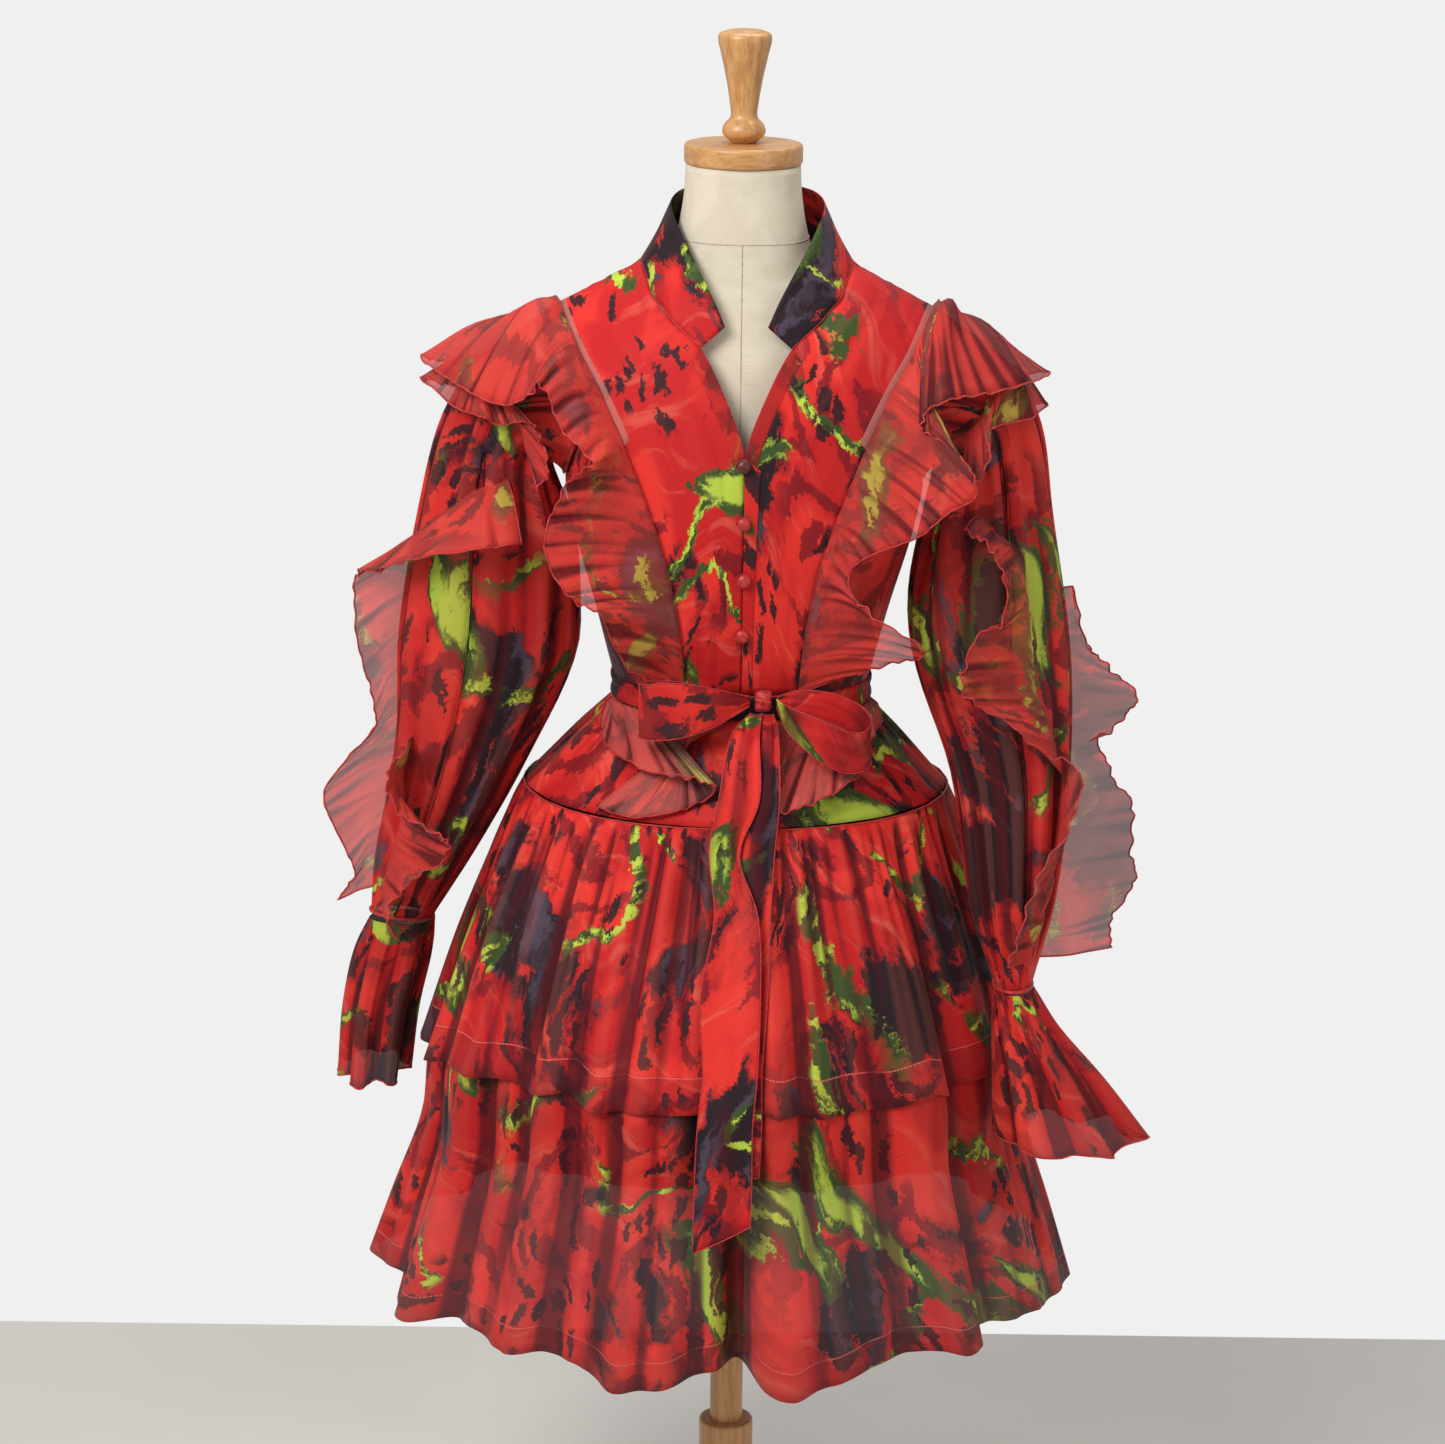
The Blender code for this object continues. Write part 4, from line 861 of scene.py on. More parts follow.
BACK_CENTRE = (
    (105, -4, 1496, 192, -6, 1450, 0),
    (96, 34, 1499, 171, 42, 1411, 5),
    (60, 66, 1501, 149, 74, 1372, 9),
    (0, 78, 1502, 128, 92, 1328, 14),
    (0, 96, 1440, 110, 101, 1284, 10),
    (0, 106, 1370, 92, 104, 1240, 6),
    (0, 110, 1290, 78, 103, 1195, 4),
    (0, 108, 1210, 67, 99, 1140, 3),
    (0, 103, 1140, 62, 96, 1108, 3),
    (0, 100, 1075, 58, 92, 1075, 2),
)
BACK_SIDE = (
    (149, 74, 1372, 155, 70, 1364, 0),
    (128, 92, 1328, 167, 62, 1316, 5),
    (110, 101, 1284, 177, 38, 1288, 14),
    (92, 104, 1240, 181, 0, 1276, 23),
    (78, 103, 1195, 171, 0, 1222, 25),
    (67, 99, 1140, 151, 0, 1150, 22),
    (58, 92, 1075, 131, 0, 1075, 19),
)

# %% Bodice panels
SEAM_PINCH = 0.7 * MM
PANEL_PARTS = (5, 16)  # parts down each row of a table, and across a panel
PANEL_CREASE = 1.0 * MM
PANELS = (("front", FRONT_CENTRE, False), ("front_side", FRONT_SIDE, False),
          ("back", BACK_CENTRE, True), ("back_side", BACK_SIDE, True))
SIDES = ((-1, "left"), (1, "right"))


def panel_grid(table, side, parts_down=1, parts_across=4):
    """Grid of a bodice piece, from the inner edge to the outer edge. side is -1 left, 1 right."""
    rows = spread(table, (len(table) - 1) * parts_down + 1)
    grid = np.empty((len(rows), parts_across + 1, 3))
    for row, values in zip(grid, rows):
        start, end, swell = values[:3], values[3:6], values[6]
        start[0] = max(start[0], 0)
        chord = end - start
        out = np.array([-chord[1], chord[0], 0.0])
        middle = (start + end) / 2
        if out[:2] @ middle[:2] < 0:
            out = -out
        out /= max(np.linalg.norm(out), 1e-9)
        for k in range(parts_across + 1):
            t = k / parts_across
            row[k] = start + chord * t + out * swell * 4 * t * (1 - t)
    grid[..., 0] *= side
    grid = grid * MM
    grid[..., 0] += BODICE_X
    return grid


def facing_out(grid, side, back):
    """The grid with its columns turned to run clockwise from above."""
    runs_clockwise = (side < 0) != back
    return grid if runs_clockwise else grid[:, ::-1]


def seam_pinched(grid):
    """The grid with its two side edges sunk into the body, as a sewn seam pulls them."""
    share = np.zeros(grid.shape[1])
    share[[0, -1]], share[[1, -2]] = 1, 0.3
    return grid - normals_of(grid) * SEAM_PINCH * share[None, :, None]


grids, fine_panels = {}, {}
for side, word in SIDES:
    for piece, table, back in PANELS:
        grids[piece, side] = panel_grid(table, side)
        fine = facing_out(panel_grid(table, side, *PANEL_PARTS), side, back)
        fine = seam_pinched(creased(fine, PANEL_CREASE, 5, len(pieces), drift=3.0))
        fine_panels[piece, side] = fine
        cloth(f"{piece}_{word}", fine, body_cloth, "print_cloth", offset=1, turn=0.12 * side)

# %% [markdown]
# ### Seams, facing and placket
# Where two sheer layers lie on each other the cloth looks denser, so the seam allowances, the turned-in
# neck facing and the button placket can be seen. They are narrow strips just off the panel.

# %% Strips on the bodice
STRIP_LIFT = 0.75 * MM
STRIP_PARTS = (5, 48)  # parts down each row of the table, and across the panel
# Strips of the centre front: their share of it from its top, and from its inner edge
STRIPS = (("neck_facing", (0.33, 0.56), (0, 0.125), facing_cloth),
          ("shoulder_allowance", (0.0, 0.35), (0.875, 0.958), pale_cloth))
PLACKET = ((0.556, 0.99), (0, 0.16))


def lifted(grid, distance):
    """The grid moved this far out."""
    return grid + normals_of(grid) * distance


def front_strip(side, rows, columns):
    """A strip of the centre front, just off the cloth."""
    grid = panel_grid(FRONT_CENTRE, side, *STRIP_PARTS)
    (top, bottom), (inner, outer) = ((np.array(span) * (count - 1)).round().astype(int)
                                     for span, count in zip((rows, columns), grid.shape))
    return lifted(facing_out(grid[top:bottom + 1, inner:outer + 1], side, False), STRIP_LIFT)


for side, word in SIDES:
    for name, rows, columns, material in STRIPS:
        cloth(f"{name}_{word}", front_strip(side, rows, columns), material, "print_cloth", nodes=(),
              offset=1)
    lines = [fine_panels[piece, side][:, index] for piece, index in
             (("front", -1 if side > 0 else 0), ("back", 0 if side > 0 else -1))]
    tube(f"princess_seams_{word}", lines, 0.5 * MM, edge_cloth, "print_cloth")
cloth("button_placket", front_strip(1, *PLACKET), body_cloth, "print_cloth", nodes=(), offset=1, roll=3)

# %% [markdown]
# ## Covered buttons and their loops
# A covered button is a shell with the dress's cloth drawn over it, so its print is a scrap of one colour.
# The top one came out of a dark part of the cloth. Each slips through a thread loop on the other edge.

# %% Buttons
BUTTON_RADIUS = 7 * MM
BUTTON_DEPTH = 0.62 * BUTTON_RADIUS
BUTTONS = ((-1, 1314), (0, 1258), (1, 1199), (0, 1140))  # x from the centre front, z
LOOP_RADIUS, LOOP_GAP = 0.45 * MM, 1.6 * MM  # half the thread, and its way off the button
LOOP_POINTS, LOOP_TURN = 25, 150  # degrees up and down round the button from its left side

front_edge = grids["front", 1][:, 0]
for number, (x, z) in enumerate(BUTTONS, 1):
    at = np.interp(z * MM, front_edge[::-1, 2], front_edge[::-1, 1])
    place = Vector((x * MM + BODICE_X, at - WALL - LAID - BUTTON_DEPTH, z * MM))
    bm = bmesh.new()
    bmesh.ops.create_uvsphere(bm, u_segments=28, v_segments=18, radius=BUTTON_RADIUS)
    for vert in bm.verts:
        vert.co *= 1 + 0.012 * noise.noise(vert.co * 420 + Vector((number, 0, 0)))
    bmesh.ops.scale(bm, vec=(1, BUTTON_DEPTH / BUTTON_RADIUS, 1), verts=bm.verts)
    bmesh.ops.translate(bm, vec=place, verts=bm.verts)
    name = f"button_{number}_ball"
    add_piece(name, smooth_mesh(name, bm), dark_button_cloth if number == 1 else button_cloth,
              "covered_buttons", (f"button_{number}",))
    turn = np.radians(np.linspace(-LOOP_TURN, LOOP_TURN, LOOP_POINTS))
    reach = BUTTON_RADIUS + LOOP_GAP
    loop = np.stack([place.x - reach * np.cos(turn) * 0.9, np.full(LOOP_POINTS, at - WALL - LAID),
                     place.z + reach * 0.8 * np.sin(turn)], axis=1)
    tube(f"button_loop_{number}", [loop], LOOP_RADIUS, edge_cloth, "covered_buttons")
print("buttons at heights of", [z for _, z in BUTTONS], "mm")

# %% [markdown]
# ## The stand collar
# A stand collar is two layers with a stiffener, so it stands away from the neck. It is thicker than the
# rest, with a piped seam where it meets the bodice.

# %% Collar
COLLAR_GAP, COLLAR_WALL = 0.9 * MM, 1.1 * MM
# Collar's upper edge, from its front end to the centre back; x mirrors
COLLAR_EDGE = ((21, -91, 1444), (34, -84, 1473), (56, -64, 1512), (72, -28, 1541), (76, 8, 1553),
               (64, 48, 1560), (36, 70, 1563), (0, 78, 1564))

halves = {}
for side, _ in SIDES:
    lower = np.vstack([grids["front", side][3::-1, 0], grids["back", side][1:4, 0]])
    lower = subdivided(lower, 2)
    upper = spread(COLLAR_EDGE, 25) * MM
    upper[:, 0] = upper[:, 0] * side + BODICE_X
    halves[side] = (lower, evenly(upper, len(lower)))
lower = np.vstack([halves[1][0], halves[-1][0][-2::-1]])
upper = np.vstack([halves[1][1], halves[-1][1][-2::-1]])
way = upper - lower
way /= np.linalg.norm(way, axis=1, keepdims=True)
lower = lower + way * COLLAR_GAP
collar_grid = refined(np.stack([upper + (lower - upper) * t for t in (0, 0.5, 1)])[:, ::-1], 5, 4)
seam_line = lifted(collar_grid, 0.7 * MM)[-1]
cloth("collar", collar_grid, band_cloth, "print_cloth", offset=1, wall=COLLAR_WALL, turn=1.35)
tube("collar_seam", [seam_line], 0.6 * MM, edge_cloth, "print_cloth")

# %% [markdown]
# ## Belt and hip yoke
# The yoke is a band cut wider than the waist and drawn in on it, so fine creases run down from the belt.
# The belt is a soft tie that lies over the seam in shallow lengthwise folds.

# %% Yoke and belt
YOKE_COLUMNS, YOKE_GATHERS = 45, 15
YOKE_FADE = ((0, 0.1), (0.3, 0.5), (0.5, 1), (0.85, 0.5), (1, 0.25))
BELT_TOP, BELT_BOTTOM = 1073.5, 1049.5
# Yoke: height, half-width, front half-depth, back half-depth, centre x, depth of its gathers
YOKE = (
    (1074.5, 131, 107, 100, 5, 0.0),
    (1048.5, 131, 107, 100, 5, 0.0),
    (1008, 167, 139, 125, 3, 3.0),
    (957.5, 216, 177, 162, 1, 0.6),
)


def waist_ring(angles, half_width, front, back, middle):
    """Points of an oval ring, deeper in front, in millimetres."""
    turn = np.radians(angles)
    depth = np.where(np.sin(turn) < 0, front, back)
    return np.stack([middle + half_width * np.cos(turn), depth * np.sin(turn)], axis=1)


def yoke_grid(rows, columns):
    """Rings of the yoke, with its gathers."""
    angles = -360 * np.arange(columns) / columns
    wave = np.cos(np.radians(angles * YOKE_GATHERS))
    grid = np.empty((len(rows), columns, 3))
    for row, (height, half_width, front, back, middle, gather) in zip(grid, rows):
        row[:, :2] = waist_ring(angles, half_width, front, back, middle)
        out = row[:, :2] / np.linalg.norm(row[:, :2], axis=1, keepdims=True)
        row[:, :2] += out * (gather * wave)[:, None]
        row[:, 2] = height
    return grid * MM


yoke = yoke_grid(YOKE, YOKE_COLUMNS)
fine = yoke_grid(spread(YOKE, 19), YOKE_COLUMNS * 8)
fine = creased(fine, 2.2 * MM, 46, 11, True, YOKE_FADE)
cloth("yoke", fine, body_cloth, "print_cloth", closed=True, offset=1, held="gathered")
belt = yoke[:2].copy()
belt[0, :, 2], belt[1, :, 2] = BELT_TOP * MM, BELT_BOTTOM * MM
belt += normals_of(belt, closed=True) * (WALL + LAID)
fine = refined(belt, 8, 5, closed=True)
ridge = 0.9 * MM * np.sin(np.linspace(0, 3 * math.pi, len(fine)))[:, None, None]
fine = fine + normals_of(fine, True) * (ridge + 0.3 * MM)
cloth("belt", fine, belt_cloth, "print_cloth_skirt", closed=True, wall=0.9 * MM, turn=1.5)

# %% [markdown]
# ## The two skirt tiers
# A tier is a long straight strip gathered to about half its length on the seam above. The gathers are
# sharp and close at the seam, and open into broad folds lower down. Both tiers share one pattern of
# folds, so the upper one never cuts through the lower.

# %% Tier tables
TIER_COLUMNS, TIER_GATHERS, TIER_PARTS = 90, 30, 6
TIER_GATHER_DEPTHS = (0.3, 3.0, 1.0, 0)  # in mm, a value for each row of UPPER_SHARES
LAYER_GAP, LAYER_SPREAD = 2.6, 2
TIER_TOP = (216, 177, 162, 1)  # half-width, front half-depth, back half-depth, centre x
# Tiers, as the share of the way from the yoke seam's ring to the hem's ring, by height.
# The lower tier runs on under the upper one. Columns: z, share of the upper tier, of the lower
UPPER_SHARES = ((956.6, 0.0, 0.0), (890, 0.29, 0.16), (795, 0.65, 0.40), (688, 1.0, 0.62))
LOWER_SHARES = ((600, 0.67), (510, 0.84), (425, 1.0))
# Hem folds: angle from +X towards the back, radius of the crest or trough, height of the hem there
UPPER_HEM = (
    (0, 322, 668), (9, 301, 671), (18, 326, 668), (27, 303, 672), (37, 322, 670), (47, 296, 674),
    (56, 312, 672), (66, 285, 676), (76, 301, 674), (86, 276, 677), (96, 299, 675), (106, 279, 677),
    (116, 305, 674), (126, 288, 675), (136, 316, 672), (146, 296, 674), (156, 326, 669),
    (166, 305, 671), (177, 331, 664), (188, 309, 670), (196, 327, 676), (205, 300, 686),
    (212, 311, 686), (219, 287, 694), (227, 301, 690), (235, 281, 698), (243, 296, 690),
    (252, 281, 698), (260, 287, 697), (268, 281, 699), (275, 252, 702), (282, 286, 698),
    (289, 292, 688), (296, 275, 692), (303, 289, 688), (311, 268, 698), (320, 290, 684),
    (333, 273, 686), (345, 296, 676), (353, 300, 672),
)
LOWER_HEM = (
    (0, 361, 409), (11, 336, 413), (22, 368, 408), (33, 338, 414), (45, 366, 411), (57, 335, 416),
    (68, 361, 413), (80, 331, 418), (91, 359, 415), (103, 332, 419), (114, 364, 415),
    (125, 337, 419), (137, 371, 416), (148, 343, 420), (159, 375, 420), (170, 352, 424),
    (180, 380, 428), (192, 352, 428), (206, 382, 418), (214, 330, 430), (222, 343, 438),
    (230, 359, 434), (238, 341, 440), (246, 345, 437), (251, 366, 426), (259, 358, 429),
    (266, 318, 436), (272, 296, 443), (278, 374, 426), (285, 360, 434), (292, 353, 440),
    (299, 336, 444), (306, 345, 444), (313, 366, 435), (322, 332, 438), (335, 338, 424),
    (348, 352, 414),
)

# %% Skirt tiers
GATHER_DEPTH, SOFT_DEPTH = 4.4 * MM, 7.2 * MM
GATHERS_ROUND, SOFT_ROUND = 74, 26
# Their share of the depth by the way down from the seam, in metres: places, then shares
GATHERS_DOWN = ((0, 0.02, 0.09, 0.26), (0.1, 1, 0.9, 0.3))
SOFT_DOWN = ((0, 0.05, 0.2), (0, 0.7, 1))


def tier_grids():
    """The two tiers share their columns, so that one never crosses the other."""
    angles = -360 * np.arange(TIER_COLUMNS) / TIER_COLUMNS
    turn = np.radians(angles)
    top = waist_ring(angles, *TIER_TOP)
    top_radius = np.linalg.norm(top, axis=1)
    upper_hem, lower_hem = around(UPPER_HEM, angles), around(LOWER_HEM, angles)
    gather = np.cos(np.radians(angles * TIER_GATHERS))

    def row(radius, height):
        return np.stack([radius * np.cos(turn), radius * np.sin(turn), height], axis=1)

    upper, lower = [], []
    start = UPPER_SHARES[0][0]
    for (height, share_upper, share_lower), ease in zip(UPPER_SHARES, TIER_GATHER_DEPTHS):
        drop = (start - height) / (start - UPPER_SHARES[-1][0])
        heights = start + (upper_hem[:, 1] - start) * drop
        inside = top_radius + (lower_hem[:, 0] - top_radius) * share_lower + ease * gather
        outside = top_radius + (upper_hem[:, 0] - top_radius) * share_upper + ease * gather
        outside = np.maximum(outside, inside + LAYER_GAP + LAYER_SPREAD * drop)
        upper.append(row(outside, heights))
        lower.append(row(inside, heights))
    under_hem = lower[-1][:, 2]
    for height, share in LOWER_SHARES:
        drop = (UPPER_SHARES[-1][0] - height) / (UPPER_SHARES[-1][0] - LOWER_SHARES[-1][0])
        heights = under_hem + (lower_hem[:, 1] - under_hem) * drop
        radius = top_radius + (lower_hem[:, 0] - top_radius) * share
        lower.append(row(radius, heights))
    return np.array(upper) * MM, np.array(lower) * MM


def tier_folds(grid):
    """The tier with fine gathers below its seam and soft folds further down."""
    heights = grid[..., 2].mean(axis=1)
    down = heights.max() - heights
    columns = grid.shape[1]
    gathers = fold_pattern(down * 1.2, columns, True, GATHERS_ROUND, 3)
    soft = fold_pattern(down * 2.4, columns, True, SOFT_ROUND, 8)
    fine_share, soft_share = (np.interp(down, *by)[:, None] for by in (GATHERS_DOWN, SOFT_DOWN))
    depth = GATHER_DEPTH * gathers * fine_share + SOFT_DEPTH * soft * soft_share
    out = grid * (1, 1, 0)
    out /= np.linalg.norm(out, axis=2, keepdims=True)
    return grid + out * depth[..., None]


tiers = tier_grids()
upper_tier, lower_tier = (tier_folds(refined(grid, 8, TIER_PARTS, closed=True)) for grid in tiers)
cloth("upper_tier", upper_tier, skirt_cloth, "print_cloth", closed=True, held="gathered")
cloth("lower_tier", lower_tier, under_cloth, "print_cloth_skirt", closed=True, held="gathered")
seam = upper_tier[0] + np.array([0, 0, 0.3 * MM])
tube("tier_seam", [seam], 0.9 * MM, edge_cloth, "print_cloth", closed=True)

# %% [markdown]
# Inside hangs a plain lining, shorter than the skirt. It isn't seen by itself, but the sheer cloth looks
# deeper where the lining backs it, and lighter below the lining's hem. It follows the lower tier's
# innermost folds, so it touches nothing.

# %% Skirt lining
LINING_HEM, LINING_DROP, LINING_ROWS = 588 * MM, 4 * MM, 22  # its hem, and its top below the yoke's seam
LINING_GAP, LINING_WINDOW = 14 * MM, 5  # its way inside the innermost fold of the columns on each side
under = tiers[1]
radius = np.linalg.norm(under[..., :2], axis=2)
inner = np.min([np.roll(radius, k, axis=1) for k in range(-LINING_WINDOW, LINING_WINDOW + 1)], axis=0)
inner = np.mean([np.roll(inner, k, axis=1) for k in range(-LINING_WINDOW, LINING_WINDOW + 1)], axis=0)
lining = under.copy()
lining[..., :2] *= ((inner - LINING_GAP) / radius)[..., None]
heights = under[..., 2].mean(axis=1)
levels = np.linspace(heights[0] - LINING_DROP, LINING_HEM, LINING_ROWS)
lining = np.array([[[np.interp(level, heights[::-1], lining[::-1, k, axis]) for axis in range(3)]
                    for k in range(TIER_COLUMNS)] for level in levels])
cloth("skirt_lining", refined(lining, 1, 4, closed=True), lining_cloth, "print_cloth_skirt", nodes=(),
      closed=True, offset=-1)

# %% [markdown]
# ## Sleeves and cuff frills
# A bishop sleeve is wide, gathered into the armhole and into elastic at the wrist. Its rings start on the
# armhole's own edge and swell down the arm. Gathers are deepest near both seams. Below the elastic the
# cloth opens again into a flared frill with a rolled edge.

# %% Sleeve tables
SLEEVE_GATHERS, SLEEVE_TWIST = 11, 0.4
FRILL_WAVES, FRILL_SIDES, FRILL_PHASE, FRILL_DIP = 6, 24, 0.8, 0.35
# Sleeves, down from the armhole: centre of the ring, its half-width outward, half-width across,
# the tilt of the ring from upright to level, and the depth of its gathers
# Columns: x, y, z, out, across, tilt, gather
LEFT_SLEEVE = (
    (-224, -3, 1345, 66, 68, 32, 0),
    (-244, -3, 1303, 64, 68, 58, 4),
    (-250, -2, 1225, 75, 74, 80, 4),
    (-254, 4, 1105, 92, 78, 86, 4),
    (-284, 14, 985, 70, 70, 80, 4),
    (-326, 24, 865, 50, 48, 80, 3),
    (-348, 26, 797, 33, 24, 84, 0),
)
RIGHT_SLEEVE = (
    (231, -4, 1345, 66, 68, 32, 0),
    (250, -8, 1303, 62, 68, 58, 4),
    (257, -16, 1225, 63, 70, 82, 4),
    (259, -34, 1105, 79, 70, 88, 4),
    (280, -64, 985, 60, 62, 88, 4),
    (284, -108, 865, 45, 46, 86, 3),
    (284, -138, 785, 19, 32, 88, 0),
)
# Cuff frills, down from the elastic: centre, half-width outward, half-depth, wave.
# Columns: x, y, z, out, across, wave
LEFT_FRILL = (
    (-348, 26, 792.6, 34, 25, 0),
    (-360, 28, 750, 38, 34, 3),
    (-373, 30, 690, 36, 44, 6),
    (-380, 30, 622, 34, 54, 9),
)
RIGHT_FRILL = (
    (284, -139, 783.6, 20, 33, 0),
    (298, -145, 742, 32, 42, 3),
    (322, -154, 690, 50, 52, 8),
    (346, -162, 630, 68, 60, 13),
)

# %% Sleeves
BELLY = {-1: (1225, 105, 12), 1: (1200, 130, 15)}  # each side's height, half length and depth in mm
# Creases: depth, how many run round, and their share of the depth down the piece
SLEEVE_CREASE = (3.4 * MM, 26)
SLEEVE_FADE = ((0, 0), (0.08, 1), (0.3, 0.7), (0.6, 0.6), (0.9, 1), (1, 0.2))
FRILL_CREASE = (2.2 * MM, 22)
FRILL_FADE = ((0, 0.25), (0.15, 0.8), (0.6, 0.7), (1, 1))
ELASTIC_RADIUS, ELASTIC_LIFT, ELASTIC_POINTS = 2.2 * MM, 1.2 * MM, 160


def armhole(side):
    """The armhole's edge as a loop: over the shoulder tip, down the front, underarm, up the back."""
    front = list(grids["front", side][:3, -1])
    front_side = list(grids["front_side", side][:4, -1])
    back = list(grids["back", side][1:3, -1])
    back_side = list(grids["back_side", side][:3, -1])
    return np.array(front + front_side + back_side[::-1] + back[::-1])


def sleeve_ring(values, places, twist):
    """One ring of a sleeve: places are angles from its outer side towards the front."""
    x, y, z, out, across, tilt, gather = values
    side = math.copysign(1, x)
    lean = math.radians(tilt)
    outward = np.array([side * math.sin(lean), 0, math.cos(lean)])
    frontward = np.array([0, -1.0, 0])
    wave = 1 + (gather / out) * np.cos(places * SLEEVE_GATHERS + twist)
    ring = np.array([x, y, z]) + (np.cos(places) * out * wave)[:, None] * outward
    return ring + (np.sin(places) * across * wave)[:, None] * frontward


def sleeve_grid(side, table):
    """The sleeve's rings, and the angle of each column."""
    loop = armhole(side)
    loop = subdivided(np.vstack([loop, loop[:1]]), 3)[:-1]
    middle = loop.mean(axis=0)
    places = np.arctan2(-(loop[:, 1] - middle[1]), loop[:, 2] - middle[2])
    rings = [loop + np.array([side, 0, 0]) * (WALL + LAID)]
    for index, values in enumerate(table):
        rings.append(sleeve_ring(values, places, index * SLEEVE_TWIST) * MM)
    grid = np.array(rings)
    return (grid[:, ::-1], places[::-1]) if side < 0 else (grid, places)


def sunk(grid, depth, count, seed, fade):
    """Creases that only sink, so that nothing laid on the cloth is reached from below."""
    folded = creased(grid, depth, count, seed, True, fade, drift=1.6)
    share = np.interp(np.linspace(0, 1, len(grid)), *zip(*fade))[:, None, None]
    return folded - normals_of(grid, True) * depth * share


def bellied(grid, side):
    """The sleeve with its side next to the body let out, where its fullness hangs against the bodice."""
    height, half, depth = BELLY[side]
    share = np.cos(np.clip((grid[..., 2] / MM - height) / half, -1, 1) * math.pi / 2) ** 2
    inward = np.maximum(-side * normals_of(grid, True)[..., 0], 0)
    grid = grid.copy()
    grid[..., 0] -= side * depth * MM * share * inward
    return grid


sleeves = {}
for side, table, frill in ((-1, LEFT_SLEEVE, LEFT_FRILL), (1, RIGHT_SLEEVE, RIGHT_FRILL)):
    word = dict(SIDES)[side]
    sleeves[side] = sleeve_grid(side, table)
    fine = bellied(refined(sleeves[side][0], 6, 5, closed=True), side)
    fine = sunk(fine, *SLEEVE_CREASE, 20 + side, SLEEVE_FADE)
    cloth(f"sleeve_{word}", fine, sleeve_cloth, "print_cloth", closed=True, held="gathered", turn=0.3 * side)
    turn = -np.linspace(0, math.tau, FRILL_SIDES, endpoint=False)
    rings = []
    for x, y, z, out, across, wave in frill:
        swing = 1 + wave / max(out, across) * np.cos(FRILL_WAVES * turn + FRILL_PHASE * side)
        drop = -FRILL_DIP * wave * np.sin(FRILL_WAVES * turn)
        rings.append(np.stack([x + out * swing * np.cos(turn), y + across * swing * np.sin(turn),
                               z + drop], axis=1))
    fine = refined(np.array(rings) * MM, 6, 7, closed=True)
    fine = creased(fine, *FRILL_CREASE, 30 + side, True, FRILL_FADE, drift=0.8)
    hem = tube(f"cuff_frill_{word}_edge", [fine[-1]], ROLL_RADIUS, edge_cloth, "print_cloth", closed=True)
    cloth(f"cuff_frill_{word}", fine, sleeve_cloth, "print_cloth", closed=True, held="gathered", edges=[hem],
          turn=0.2 * side)
    wrist = sleeves[side][0][-1] + np.array([0, 0, ELASTIC_LIFT])
    wrist = catmull(wrist, np.arange(ELASTIC_POINTS) * len(wrist) / ELASTIC_POINTS, closed=True)
    tube(f"wrist_elastic_{word}", [wrist], ELASTIC_RADIUS, edge_cloth, "print_cloth", closed=True)

# %% [markdown]
# ## Ruffles
# A ruffle is a curved strip, sewn along its short edge, so that its long edge falls into waves. Its root
# follows the seam it is sewn on. Its free edge goes through one table row for each crest and turn. The
# cloth between is lifted off the sleeve and the panels, refined, and rippled more towards its edge.

# %% Ruffle tables
# Free edges of the ruffles, a row for each crest or turn of the edge, from the waist at the front
# over the shoulder to the waist at the back. lift raises the cloth between root and edge.
# Columns: x, y, z, lift
LEFT_RUFFLE = (
    (-108, -122, 1104, 2), (-124, -146, 1140, 4), (-136, -176, 1177, 6), (-166, -170, 1190, 6),
    (-189, -160, 1232, 6), (-184, -152, 1265, 6), (-166, -154, 1300, 6), (-143, -160, 1322, 6),
    (-170, -142, 1345, 8), (-186, -126, 1376, 10), (-201, -118, 1391, 12), (-218, -110, 1368, 18),
    (-250, -90, 1368, 30), (-286, -48, 1379, 34), (-321, 2, 1392, 28), (-300, 44, 1380, 34),
    (-268, 74, 1368, 32), (-232, 98, 1370, 20), (-206, 114, 1388, 12), (-176, 124, 1350, 8),
    (-192, 138, 1304, 6), (-164, 146, 1262, 6), (-176, 144, 1216, 6), (-148, 140, 1172, 4),
    (-118, 118, 1110, 2),
)
RIGHT_RUFFLE = (
    (118, -122, 1100, 2), (160, -152, 1124, 4), (184, -178, 1142, 6), (142, -172, 1170, 6),
    (112, -152, 1190, 6), (112, -142, 1216, 6), (142, -150, 1236, 6), (176, -152, 1250, 6),
    (206, -152, 1276, 6), (230, -154, 1290, 6), (226, -152, 1315, 6), (206, -134, 1336, 8),
    (180, -124, 1350, 10), (180, -118, 1368, 14), (215, -104, 1380, 24), (249, -78, 1380, 36),
    (282, -40, 1380, 38), (312, 4, 1386, 32), (288, 46, 1376, 38), (256, 78, 1366, 32),
    (226, 98, 1372, 20), (200, 114, 1386, 12), (180, 126, 1346, 8), (190, 142, 1300, 6),
    (160, 146, 1256, 6), (178, 146, 1212, 6), (150, 140, 1168, 4), (118, 118, 1108, 2),
)
